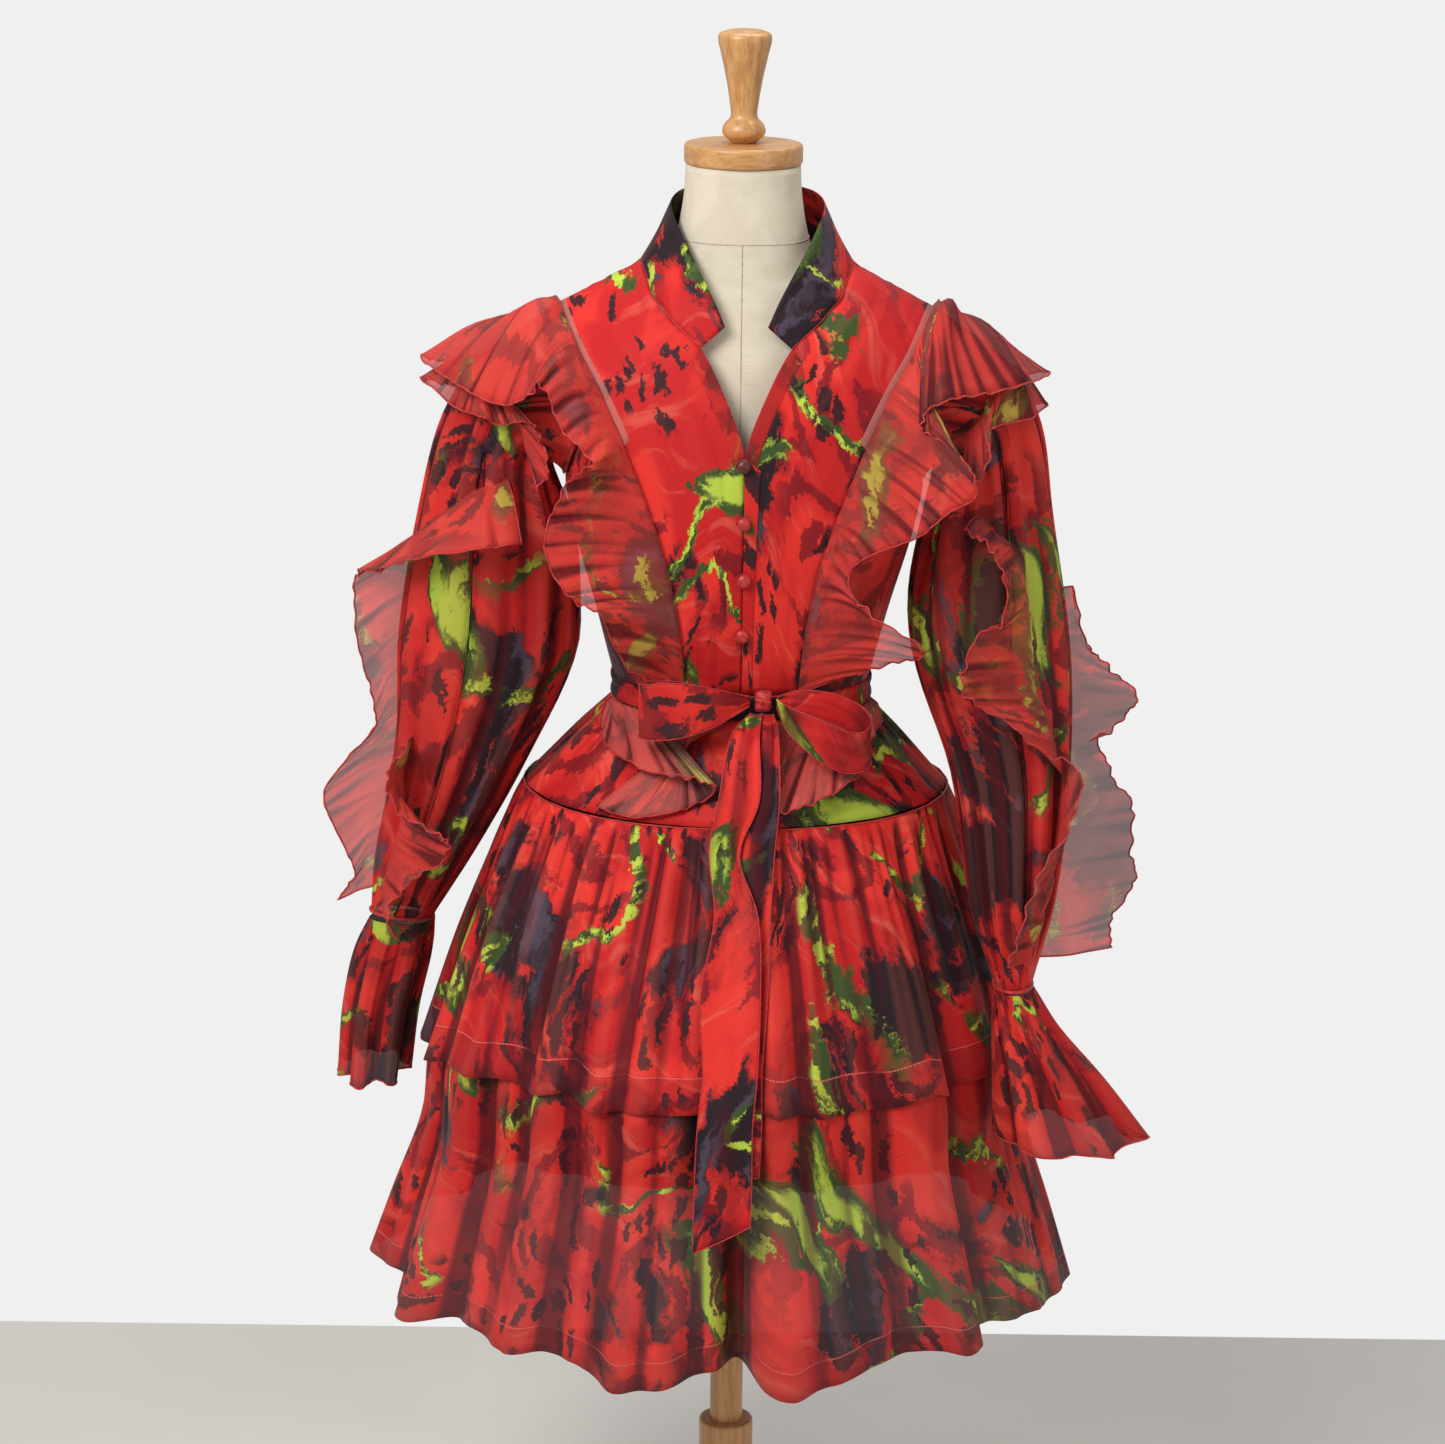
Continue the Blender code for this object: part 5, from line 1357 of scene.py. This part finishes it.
# The shorter layer over each sleeve's head, from the front round to the back; same columns
LEFT_CAP = (
    (-200, -116, 1284, 0), (-186, -116, 1304, 0), (-196, -112, 1326, 0), (-202, -104, 1346, 2),
    (-216, -96, 1348, 2), (-238, -86, 1344, 4), (-260, -76, 1350, 4), (-286, -48, 1354, 4),
    (-304, -22, 1364, 4), (-322, 4, 1372, 4), (-300, 36, 1360, 4), (-276, 62, 1348, 4),
    (-242, 82, 1344, 4), (-218, 94, 1350, 2), (-200, 104, 1326, 0), (-198, 110, 1286, 0),
)
RIGHT_CAP = (
    (218, -122, 1290, 0), (238, -120, 1304, 0), (246, -108, 1328, 2), (242, -96, 1342, 4),
    (258, -78, 1348, 4), (284, -46, 1346, 4), (312, 6, 1354, 4), (290, 38, 1346, 4),
    (264, 66, 1340, 4), (236, 84, 1346, 4), (214, 98, 1342, 2), (204, 108, 1290, 0),
)
# Flounces down the sleeves: free edges from the top to the cuff; same columns
LEFT_OUTER_FLOUNCE = (
    (-214, -106, 1228, 0), (-265, -114, 1222, 0), (-330, -84, 1204, 0), (-364, -44, 1184, 0),
    (-388, -6, 1170, 0), (-392, 4, 1140, 0), (-388, 8, 1090, 0), (-376, 10, 1044, 0),
    (-372, 8, 1006, 0), (-394, 12, 978, 0), (-426, 14, 936, 0), (-422, 12, 908, 0),
    (-404, 14, 866, 0), (-396, 14, 840, 0), (-414, 16, 812, 0),
)
LEFT_FRONT_FLOUNCE = (
    (-330, -84, 1010, 0), (-352, -76, 980, 0), (-344, -84, 946, 0), (-308, -100, 926, 0),
    (-290, -108, 914, 0), (-300, -102, 892, 0), (-330, -90, 866, 0), (-352, -76, 836, 0),
    (-346, -76, 800, 0),
)
RIGHT_OUTER_FLOUNCE = (
    (338, -20, 1170, 0), (356, -12, 1112, 0), (382, -8, 1082, 0), (410, -8, 1056, 0),
    (402, -10, 1030, 0), (374, -16, 1006, 0), (392, -24, 966, 0), (410, -32, 936, 0),
    (408, -40, 894, 0), (412, -50, 868, 0), (390, -70, 836, 0), (388, -88, 808, 0),
)
RIGHT_FRONT_FLOUNCE = (
    (222, -116, 1248, 0), (246, -130, 1238, 0), (260, -134, 1210, 0), (262, -134, 1164, 0),
    (238, -148, 1148, 0), (224, -152, 1118, 0), (226, -154, 1090, 0), (256, -152, 1072, 0),
    (282, -150, 1048, 0), (316, -144, 1026, 0), (346, -134, 1004, 0), (334, -150, 960, 0),
    (304, -172, 905, 0), (284, -184, 856, 0), (276, -190, 820, 0),
)
# Where each flounce is sewn. Columns: row of the sleeve's table, degrees from its outer side
# towards the front
LEFT_OUTER_ROOT = ((1.0, 112), (1.3, 82), (1.9, 42), (2.4, 12), (3.2, 4), (4.2, 4), (5.6, 6))
LEFT_FRONT_ROOT = ((3.9, 39), (4.8, 39), (5.7, 38))
RIGHT_OUTER_ROOT = ((2.5, 0), (3.5, 2), (4.5, 4), (5.7, 8))
RIGHT_FRONT_ROOT = ((1.5, 105), (2.1, 66), (3.0, 44), (4.0, 30), (5.6, 40))
CAP_ROOT = ((0, 100), (0, 60), (0, 0), (0, -60), (0, -100))
# Flounces under the bow: free edges from the side to the centre front; columns x, y, z, lift
LEFT_PEPLUM = (
    (-134, -44, 1032, 0), (-132, -94, 1020, 0), (-92, -144, 1009, 0), (-50, -166, 1006, 0),
    (-22, -174, 1002, 0), (-20, -170, 994, 0), (-34, -164, 980, 0), (-60, -164, 968, 0),
    (-100, -156, 958, 0), (-138, -134, 964, 0),
)
RIGHT_PEPLUM = (
    (150, -40, 1034, 0), (134, -96, 1020, 0), (134, -134, 1010, 0), (100, -164, 992, 0),
    (64, -180, 980, 0), (33, -184, 976, 0), (36, -174, 986, 0), (50, -166, 1002, 0),
)
PEPLUM_TURNS = {-1: (192, 264), 1: (352, 280)}  # angles round the waist, side to centre front

# %% Ruffle pieces
RUFFLE_INSET = 0.28  # the root's way in from the seam, as a share of the panel's last column
RIPPLE = 4.2 * MM
RIPPLE_FADE = ((0, 0), (0.3, 0.35), (1, 1))
SEWN_DEPTH = 7 * MM  # how far a root row is sunk into its sleeve
STRIP_ROWS = 3


def strip_grid(root, edge_table, over, pinned=False):
    """A coarse ruffle between its root and its free edge, clear of the surfaces it hangs over.
    over: (surface, how far off it the cloth hangs, its least clearance, its reach)."""
    columns = 2 * len(edge_table) - 1
    root = evenly(root, columns)
    table = spread(edge_table, columns) * MM
    edge, lift = table[:, :3], table[:, 3]
    grid = np.empty((STRIP_ROWS + 1, columns, 3))
    for k in range(STRIP_ROWS + 1):
        t = k / STRIP_ROWS
        grid[k] = root + (edge - root) * t
        grid[k, :, 2] += lift * 4 * t * (1 - t)
    for surface, distance, _, reach in over:
        grid[1:] = held_off(grid[1:], surface, distance, reach)
    for surface, _, clear, reach in 2 * over:
        grid = cleared(grid, surface, clear, reach)
    if pinned:
        grid[0, [0, -1]] = root[[0, -1]]
    return grid


def ruffle(name, grid, material=ruffle_cloth, turn=0.0):
    """The refined, rippled ruffle with its rolled edge."""
    ripples, seed = 1.1 * grid.shape[1], 40 + len(pieces)
    fine = creased(refined(grid, 5, 6), RIPPLE, ripples, seed, fade=RIPPLE_FADE, drift=0.5)
    hem = tube(f"{name}_edge", [rim_of(fine, ("left", "bottom", "right"))], ROLL_RADIUS, edge_cloth,
               "print_cloth_ruffles")
    cloth(name, fine, material, "print_cloth_ruffles", held="gathered", edges=[hem], turn=turn)


def sewn_in(grid, surface):
    """The strip with its root row sunk into the sleeve, so that no light shows between them."""
    for k, point in enumerate(grid[0]):
        near, normal, _, _ = surface.find_nearest(tuple(point))
        grid[0, k] = np.array(near) - SEWN_DEPTH * np.array(normal)
    return grid


def shoulder_ruffle_grid(side, edge, over):
    """The long ruffle's grid, sewn up the front seam, over the shoulder and down the back seam."""
    lines = []
    for piece, is_back in (("front", False), ("back", True)):
        grid = grids[piece, side]
        panel = surface_of(facing_out(grid, side, is_back), closed=False)
        over = over + [(panel, ROOT_HEIGHT, PANEL_CLEAR, PANEL_REACH)]
        outer = -1 if (side < 0) != is_back else 0
        out = normals_of(facing_out(grid, side, is_back))[:, outer]
        lines.append(grid[:, -1] + (grid[:, -2] - grid[:, -1]) * RUFFLE_INSET + out * ROOT_HEIGHT)
    return strip_grid(np.vstack([lines[0][::-1], lines[1][1:]]), edge, over, pinned=True)


def sleeve_path(sleeve, stops, surface):
    """A line on the sleeve through these stops, raised off the cloth."""
    grid, places = sleeve
    order = np.argsort(places)
    turns, grid = np.degrees(places[order]), grid[:, order]
    stops = np.asarray(stops, float)
    rings, angles = (subdivided(np.pad(stops, ((0, 0), (0, 1))), 4)[:, k] for k in (0, 1))
    columns = [[np.interp(angle, turns, row[:, k], period=360) for k in range(3)]
               for angle in angles for row in grid]
    columns = np.array(columns).reshape(len(angles), len(grid), 3)
    line = [[np.interp(ring + 1, np.arange(len(grid)), column[:, k]) for k in range(3)]
            for ring, column in zip(rings, columns)]
    return held_off(np.array(line), surface, SLEEVE_ROOT)


def peplum_grid(side, edge):
    """The flounce sewn into the waist seam under the belt."""
    start, end = PEPLUM_TURNS[side]
    turns = -360 * np.arange(YOKE_COLUMNS) / YOKE_COLUMNS % 360
    picked = [k for k in range(YOKE_COLUMNS) if min(start, end) <= turns[k] <= max(start, end)]
    picked.sort(key=lambda k: turns[k], reverse=start > end)
    root = yoke[1, picked]
    out = root * (1, 1, 0)
    out /= np.linalg.norm(out, axis=1, keepdims=True)
    return strip_grid(root + out * ROOT_HEIGHT - np.array([0, 0, 2 * LAID]), edge,
                      [(surface_of(yoke), HOLD_OFF, CLEAR - 0.1 * WALL, REACH)])


for side, long_edge, peplum, flounces in (
        (-1, LEFT_RUFFLE, LEFT_PEPLUM, (
            ("shoulder_cap", LEFT_CAP, CAP_ROOT),
            ("sleeve_flounce_outer", LEFT_OUTER_FLOUNCE, LEFT_OUTER_ROOT),
            ("sleeve_flounce_front", LEFT_FRONT_FLOUNCE, LEFT_FRONT_ROOT))),
        (1, RIGHT_RUFFLE, RIGHT_PEPLUM, (
            ("shoulder_cap", RIGHT_CAP, CAP_ROOT),
            ("sleeve_flounce_outer", RIGHT_OUTER_FLOUNCE, RIGHT_OUTER_ROOT),
            ("sleeve_flounce_front", RIGHT_FRONT_FLOUNCE, RIGHT_FRONT_ROOT)))):
    word = dict(SIDES)[side]
    skin = surface_of(sleeves[side][0])
    over = [(skin, 2 * HOLD_OFF, CLEAR, REACH)]
    ruffle(f"shoulder_ruffle_{word}", shoulder_ruffle_grid(side, long_edge, over))
    for name, edge, root in flounces:
        grid = strip_grid(sleeve_path(sleeves[side], root, skin), edge, [(skin, HOLD_OFF, CLEAR, REACH)])
        ruffle(f"{name}_{word}", sewn_in(grid, skin), turn=0.7 * side)
    ruffle(f"peplum_{word}", peplum_grid(side, peplum), flounce_cloth, turn=1.1 * side)

# %% [markdown]
# ## The bow
# The tie ends in a bow: two loops, two tails and a knot. Each loop is a band that runs out and back, so
# its hollow shows. The tails hang clear of the skirt in lengthwise creases, as a pressed strip does.

# %% Bow tables
# Bow loops, from the knot out and back. Columns: x, y, z of the upper edge, z of the lower
LEFT_LOOP = (
    (13.4, -128, 1079, 1070), (-20, -147, 1092, 1054), (-56, -154, 1099, 1043), (-86, -148, 1096, 1039),
    (-97, -136, 1094, 1040), (-86, -127, 1094, 1046), (-56, -126, 1093, 1056), (-20, -124, 1084, 1064),
    (13.4, -120, 1078, 1071),
)
RIGHT_LOOP = (
    (40.4, -128, 1078, 1068), (54, -152, 1075, 1048), (80, -164, 1068, 1026), (106, -168, 1057, 1014),
    (126, -162, 1054, 1014), (134, -150, 1062, 1022), (124, -138, 1074, 1038), (96, -131, 1085, 1054),
    (62, -126, 1086, 1064), (40.4, -120, 1077, 1070),
)
# Bow tails down from the knot. Columns: x, y, z of the middle, half-width
FRONT_TAIL = (
    (20, -129.2, 1062, 6), (9, -168, 1048, 14), (4, -196, 992, 20), (0, -206, 940, 22), (-2, -231, 880, 23),
    (-3, -262, 810, 25), (-4, -291, 740, 26), (-6, -312, 690, 27), (-7, -320, 640, 28), (-8, -332, 582, 28),
)
BACK_TAIL = (
    (32, -125.5, 1060.5, 5), (33, -158, 1048, 9), (30, -189, 992, 14), (22, -201, 940, 18),
    (18, -224, 880, 19), (14, -252, 810, 20), (12, -281, 740, 20), (10, -303, 690, 20), (8, -312, 640, 20),
)
TAIL_SLANT = 29  # how much higher the front tail's right corner ends
KNOT = (27, -120.1, 1073, 13, 11.2, 12)  # centre, then half sizes

# %% Bow pieces
BOW_EDGE = 0.7 * ROLL_RADIUS
TAIL_EXTRA = 4 * MM  # added to how far off the skirt each tail hangs, for its own creases
TAIL_FADE = ((0, 0.3), (0.15, 1), (1, 0.7))

for word, table in (("left", LEFT_LOOP), ("right", RIGHT_LOOP)):
    path = spread(table, 2 * len(table) - 1)
    high = path[:, [0, 1, 2]]
    low = path[:, [0, 1, 3]]
    fine = refined(np.stack([high + (low - high) * t for t in (0, 0.5, 1)]) * MM, 7, 6)
    fine = creased(fine, 0.9 * MM, 3, 61, drift=4.0)
    edge = tube(f"bow_loop_{word}_edge", [fine[0], fine[-1]], BOW_EDGE, edge_cloth, "print_cloth_ruffles")
    cloth(f"bow_loop_{word}", fine, bow_cloth, "print_cloth_ruffles", held="folded", edges=[edge], turn=1.4)
for word, table, slant, reach in (("back", BACK_TAIL, 0, HOLD_OFF),
                                  ("front", FRONT_TAIL, TAIL_SLANT, 2 * HOLD_OFF)):
    grid = []
    for row, (x, y, z, half) in enumerate(table):
        lean = slant / 2 * (row == len(table) - 1)
        grid.append([(x + half * s, y + 3 * s * s, z + lean * s) for s in (1, 0, -1)])
    grid = np.array(grid, float) * MM
    for tier in tiers:
        grid = held_off(grid, surface_of(tier), reach + TAIL_EXTRA)
    fine = refined(grid[:, ::-1], 7, 10)
    fine = creased(fine, 1.8 * MM, 2.2, 71, fade=TAIL_FADE, drift=1.2)
    edge = tube(f"bow_tail_{word}_edge", [rim_of(fine, ("left", "bottom", "right"))], BOW_EDGE,
                edge_cloth, "print_cloth_ruffles")
    cloth(f"bow_tail_{word}", fine, bow_cloth, "print_cloth_ruffles", edges=[edge], turn=0.1)

# %% [markdown]
# The knot is the tie wrapped once round itself. It could be a band wound by hand, but only a small ball
# of cloth shows, so a sphere is pressed into shape and given the creases that run across it.

# %% Bow knot
bm = bmesh.new()
bmesh.ops.create_uvsphere(bm, u_segments=44, v_segments=28, radius=1)
x, y, z, half_x, half_y, half_z = KNOT
for vert in bm.verts:
    angle = math.atan2(vert.co.z, -vert.co.y)
    crease = 0.07 * math.sin(7 * angle + 2.2 * vert.co.x) + 0.06 * noise.noise(vert.co * 2.3)
    vert.co *= (1 - 0.13 + crease) / max(abs(vert.co.x) ** 6 + 1 - 0.2 * abs(vert.co.x) ** 2, 0.9)
bmesh.ops.scale(bm, vec=(half_x * MM, half_y * MM, half_z * MM), verts=bm.verts)
bmesh.ops.translate(bm, vec=(x * MM, y * MM, z * MM), verts=bm.verts)
knot = smooth_mesh("bow_knot_wrap", bm)
add_piece("bow_knot_wrap", knot, edge_cloth, "print_cloth_ruffles", ("bow_knot",))

# %% [markdown]
# ## Linen and beech
# The form is papier-mâché under stretched linen, whose threads are finer than the picture's grain, so
# what shows is their slubs and slight mottling. The beech is clear lacquered: pale brown with fine
# short flecks along the grain. The wood's grain runs up the turned pieces, and across the neck cap.

# %% Linen and beech materials


def linen_material():
    """Plain weave: slubs along the warp and the weft, in slightly mottled natural colour."""
    material, g, shader = new_material("Linen")
    place = g.add("UVMap", uv_map="Flat").outputs[0]
    warp = g.noise(g.vector("MULTIPLY", place, (900.0, 70.0, 1.0)), 1.0, 2)
    weft = g.noise(g.vector("MULTIPLY", place, (60.0, 900.0, 1.0)), 1.0, 2)
    threads = g.math("MAXIMUM", warp, weft)
    soft = g.mix(g.step(g.noise(place, 14, 3), 0.35, 0.65), (0.62, 0.54, 0.41, 1), (0.68, 0.60, 0.47, 1))
    colour = g.mix(g.math("MULTIPLY", g.step(threads, 0.55, 0.75), 0.35), soft, (0.50, 0.42, 0.30, 1))
    g.links.new(colour, shader.inputs["Base Color"])
    bump = g.add("Bump", ("Height", threads), ("Strength", 0.35), ("Distance", 0.0005))
    g.links.new(bump.outputs[0], shader.inputs["Normal"])
    shader.inputs["Roughness"].default_value = 0.85
    shader.inputs["Sheen Weight"].default_value = 0.15
    return material


def beech_material(name, along):
    """along: how fast the grain changes along X, Y and Z, the least being its own way."""
    material, g, shader = new_material(name)
    place = g.add("TexCoord").outputs["Object"]
    push = g.noise(place, 18, 2, part="Color", space="3D")
    bent = g.vector("ADD", place, g.vector("MULTIPLY", push, (0.006, 0.006, 0.006)))
    grain = g.noise(g.vector("MULTIPLY", bent, along), 1.0, 4, 0.6, space="3D")
    flecks = g.noise(g.vector("MULTIPLY", bent, tuple(2.7 * a for a in along)), 1.0, 2, space="3D")
    colour = g.mix(g.step(grain, 0.35, 0.7), (0.60, 0.315, 0.115, 1), (0.45, 0.205, 0.062, 1))
    colour = g.mix(g.math("MULTIPLY", g.step(flecks, 0.60, 0.68), 0.55), colour, (0.33, 0.13, 0.04, 1))
    g.links.new(colour, shader.inputs["Base Color"])
    g.links.new(g.add("MapRange", ("Value", grain), ("To Min", 0.30), ("To Max", 0.46)).outputs[0],
                shader.inputs["Roughness"])
    bump = g.add("Bump", ("Height", flecks), ("Strength", 0.12), ("Distance", 0.0004))
    g.links.new(bump.outputs[0], shader.inputs["Normal"])
    shader.inputs["Coat Weight"].default_value = 0.25
    shader.inputs["Coat Roughness"].default_value = 0.25
    return material


linen = linen_material()
beech_upright = beech_material("Beech, upright grain", (150.0, 150.0, 9.0))
beech_level = beech_material("Beech, level grain", (11.0, 150.0, 150.0))

# %% [markdown]
# ## The form and its stand
# The torso is a stack of rounded rings under stretched cloth. The neck cap, handle, pole, collar and base
# are turned on a lathe, so each is a profile spun round the pole's axis, with its edges eased.

# %% Form tables
TORSO_SQUARENESS = 2.25
NECK_SEAM = 1521  # height
SEAM_RADIUS, SEAM_LIFT = 0.5 * MM, 0.1 * MM
CAP_RADIUS, CAP_LOW, CAP_HIGH = 59, 1592.4, 1613
POLE_RADIUS, POLE_TOP = 17.5, 849.6
COLLAR_RADIUS, COLLAR_TOP, COLLAR_HEIGHT, SLIP = 29, 235, 48, 0.4
BASE_RADIUS, BASE_HEIGHT = 210, 26
# Torso of the form: height, half-width, half-depth, centre line's y
TORSO = (
    (1592, 57, 55, 0), (1560, 59, 57, 0), (1530, 64, 62, 0), (1508, 71, 66, 2), (1490, 86, 69, 4),
    (1477, 107, 72, 4), (1456, 134, 76, 2), (1432, 152, 81, 0), (1395, 152, 89, -2),
    (1340, 151, 98, -4), (1270, 151, 108, -6), (1220, 144, 109, -7), (1140, 124, 94, -3),
    (1064, 116, 88, 0), (985, 133, 100, 3), (900, 150, 112, 4), (850, 148, 110, 4),
)
# Turned profiles: radius, height
HANDLE = ((12, 1613.3), (20, 1620), (21.5, 1626), (19, 1632), (13.5, 1639), (14, 1650), (18, 1675),
          (23.5, 1700), (26.5, 1713), (25, 1720), (16, 1723.5))

# %% The form
rings = spread(TORSO, 81)
turn = -np.linspace(0, math.tau, 112, endpoint=False)
power = 2 / TORSO_SQUARENESS
torso = np.empty((len(rings), len(turn), 3))
for row, (height, half_width, half_depth, middle) in zip(torso, rings):
    row[:, 0] = half_width * np.sign(np.cos(turn)) * np.abs(np.cos(turn)) ** power
    row[:, 1] = middle + half_depth * np.sign(np.sin(turn)) * np.abs(np.sin(turn)) ** power
    row[:, 2] = height
torso *= MM
mesh = cloth_mesh("form_torso_linen", torso, True, roll=0)
bm = bmesh.new()
bm.from_mesh(mesh)
bmesh.ops.holes_fill(bm, edges=bm.edges, sides=0)
bm.to_mesh(mesh)
bm.free()
add_piece("form_torso_linen", mesh, linen, "linen", ("form_torso",))
neck_row = np.argmin(np.abs(rings[:, 0] - NECK_SEAM))
centre = np.argmin(torso[len(rings) // 2, :, 1])
neck_seam = torso[neck_row] + normals_of(torso, True)[neck_row] * SEAM_LIFT
front_seam = torso[neck_row:, centre] + np.array([0, -SEAM_LIFT, 0])
tube("form_seam_neck", [neck_seam], SEAM_RADIUS, linen_seam, "linen", closed=True)
tube("form_seam_front", [front_seam], SEAM_RADIUS, linen_seam, "linen")

# %% [markdown]
# A turner eases every edge that the lathe leaves. A Bevel modifier would do that, but here each profile is
# a few points whose corners are rounded before it is spun, which keeps the mesh light and even.

# %% The stand
SHARP = 40  # an edge turned by more degrees than this stays sharp


def eased(profile, radius, parts=4):
    """A profile in millimetres with each inner corner rounded."""
    profile = np.asarray(profile, float)
    points = [profile[0]]
    for before, corner, after in zip(profile, profile[1:], profile[2:]):
        ways = [(p - corner) / max(np.linalg.norm(p - corner), 1e-9) for p in (before, after)]
        start, end = corner + ways[0] * radius, corner + ways[1] * radius
        for t in np.linspace(0, 1, parts + 1):
            points.append((1 - t) ** 2 * start + 2 * t * (1 - t) * corner + t * t * end)
    return np.array(points + [profile[-1]])


def turned(name, profile, material, steps=96, nodes=(), ring=False):
    """A turned piece about the pole's axis, from (radius, height) pairs in millimetres."""
    bm = bmesh.new()
    line = [bm.verts.new((radius * MM, 0, height * MM)) for radius, height in profile]
    joins = list(zip(line, line[1:])) + ([(line[-1], line[0])] if ring else [])
    edges = [bm.edges.new(pair) for pair in joins]
    bmesh.ops.spin(bm, geom=line + edges, cent=(0, 0, 0), axis=(0, 0, 1), angle=math.tau, steps=steps,
                   use_merge=True)
    bmesh.ops.remove_doubles(bm, verts=bm.verts, dist=1e-6)
    bmesh.ops.holes_fill(bm, edges=bm.edges, sides=0)
    bmesh.ops.recalc_face_normals(bm, faces=bm.faces)
    mesh = smooth_mesh(name, bm)
    mesh.set_sharp_from_angle(angle=math.radians(SHARP))
    add_piece(name, mesh, material, "beech", nodes)


cap_line = eased(((20, CAP_HIGH), (CAP_RADIUS, CAP_HIGH), (CAP_RADIUS, CAP_LOW), (20, CAP_LOW)), 4.5, 6)
turned("neck_cap_disc", cap_line, beech_level, nodes=("neck_cap",))
turned("handle_turned", spread(HANDLE, 61), beech_upright, nodes=("handle",))
pole_line = ((POLE_RADIUS, POLE_TOP), (POLE_RADIUS, 600), (POLE_RADIUS, BASE_HEIGHT + SLIP))
turned("pole_turned", pole_line, beech_upright, nodes=("pole",))
bore, low, top = POLE_RADIUS + SLIP, COLLAR_TOP - COLLAR_HEIGHT, COLLAR_TOP
collar_line = eased(((bore, low), (COLLAR_RADIUS, low), (COLLAR_RADIUS, top), (bore, top)), 4, 6)
turned("pole_collar_turned", collar_line, beech_upright, nodes=("pole_collar",), ring=True)
base_line = eased(((40, BASE_HEIGHT), (BASE_RADIUS - 12, BASE_HEIGHT), (BASE_RADIUS, BASE_HEIGHT - 9),
                   (BASE_RADIUS, 4), (BASE_RADIUS - 4, 0), (40, 0)), 2.5, 4)
turned("stand_base_turned", base_line, beech_level, steps=128, nodes=("stand_base",))

# %% [markdown]
# ## The studio
# A pale floor that ends behind the stand, a pale backdrop beyond it, and large soft lights from both
# sides in front, as in a catalogue picture. The camera stands a little high and looks slightly down.

# %% Floor and backdrop
FLOOR_WIDE, FLOOR_NEAR, FLOOR_FAR = 8.0, -9.0, 0.735  # half its width, and its edges before and behind
AMBIENT = 0.52  # how much light the backdrop gives, as a share of how bright it looks


def floor_material(colour):
    """A matt floor, a little cloudy."""
    material, g, shader = new_material("Pale floor")
    place = g.add("TexCoord").outputs["Object"]
    cloudy = g.step(g.noise(place, 2.2, 5, space="3D"), 0.35, 0.65)
    darker = tuple(0.94 * c for c in colour[:3]) + (1,)
    g.links.new(g.mix(cloudy, darker, colour), shader.inputs["Base Color"])
    shader.inputs["Roughness"].default_value = 0.6
    return material


bm = bmesh.new()
bmesh.ops.create_grid(bm, x_segments=1, y_segments=1, size=1)
for vert in bm.verts:
    vert.co = (vert.co.x * FLOOR_WIDE, FLOOR_FAR if vert.co.y > 0 else FLOOR_NEAR, 0)
floor = bpy.data.objects.new("studio_floor", smooth_mesh("studio_floor", bm))
bpy.context.collection.objects.link(floor)
floor.data.materials.append(floor_material((0.66, 0.64, 0.60, 1)))
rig.stage(floor)

world = bpy.data.worlds.new("Pale backdrop")
world.use_nodes = True
g = Graph(world.node_tree)
seen = g.add("LightPath").outputs["Is Camera Ray"]
backdrop = g.nodes["Background"]
backdrop.inputs["Color"].default_value = (0.87, 0.87, 0.865, 1)
g.links.new(g.add("MapRange", ("Value", seen), ("To Min", AMBIENT), ("To Max", 1.0)).outputs[0],
            backdrop.inputs["Strength"])
bpy.context.scene.world = world
bpy.context.scene.view_settings.view_transform = "Standard"

# %% [markdown]
# Large lamps give soft shadows. The key lamp stands high on the left, a weak one fills in from the right,
# and one from above and behind parts the shoulders from the backdrop.

# %% Lights
AIM = (0, 0, 1.0)  # the middle of the dress
# Columns: name, place, size, power in watts
LIGHTS = (
    ("key", (-1.6, -2.0, 3.1), (1.5, 1.5), 84),
    ("fill", (2.2, -2.2, 1.7), (1.8, 1.8), 14),
    ("top", (0.3, 0.5, 3.4), (1.6, 1.0), 26),
)

for name, place, size, power in LIGHTS:
    lamp = bpy.data.lights.new(name, "AREA")
    lamp.shape, lamp.size, lamp.size_y, lamp.energy = "RECTANGLE", size[0], size[1], power
    light = bpy.data.objects.new(name, lamp)
    light.location = place
    light.rotation_euler = (Vector(AIM) - Vector(place)).to_track_quat("-Z", "Y").to_euler()
    bpy.context.collection.objects.link(light)
print("lights:", [name for name, *_ in LIGHTS])

# %% [markdown]
# The camera stands about where the photograph was taken from, higher than the form, and looks down on it,
# tilted by less than a degree. Its lens, height and distance were fitted to the form's own proportions,
# which are known better than the dress's. A guess by eye would be off in how much the skirt narrows.

# %% Camera
IMAGE_WIDTH, FOCAL_PIXELS = 1445, 3900  # the photograph's width and focal length, both in its pixels
SENSOR = 36  # the film's width in mm
PITCH, ROLL = 15.7, 0.75  # degrees down, and tilted
CAMERA_PLACE = (-0.0135, -3.87, 2.105)

lens = bpy.data.cameras.new("camera")
lens.lens, lens.sensor_width, lens.sensor_fit = FOCAL_PIXELS / IMAGE_WIDTH * SENSOR, SENSOR, "HORIZONTAL"
camera = bpy.data.objects.new("camera", lens)
camera.location = CAMERA_PLACE
camera.rotation_euler = Euler((math.radians(90 - PITCH), 0, 0))
camera.rotation_euler.rotate_axis("Z", math.radians(ROLL))
bpy.context.collection.objects.link(camera)
bpy.context.scene.camera = camera
print("the camera looks down", PITCH, "degrees through a lens of", round(lens.lens, 1), "mm")

# %% [markdown]
# ## Sizes
# The solids' box and the finished pieces' box are kept side by side, to see that the looks haven't
# changed the object's size.

# %% Write the sizes
with open("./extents.json", "w") as out:
    json.dump({"cad": [list(map(float, corner)) for corner in cad_box],
               "visual": [list(map(float, corner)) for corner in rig.bounds()]}, out)
print(open("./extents.json").read())
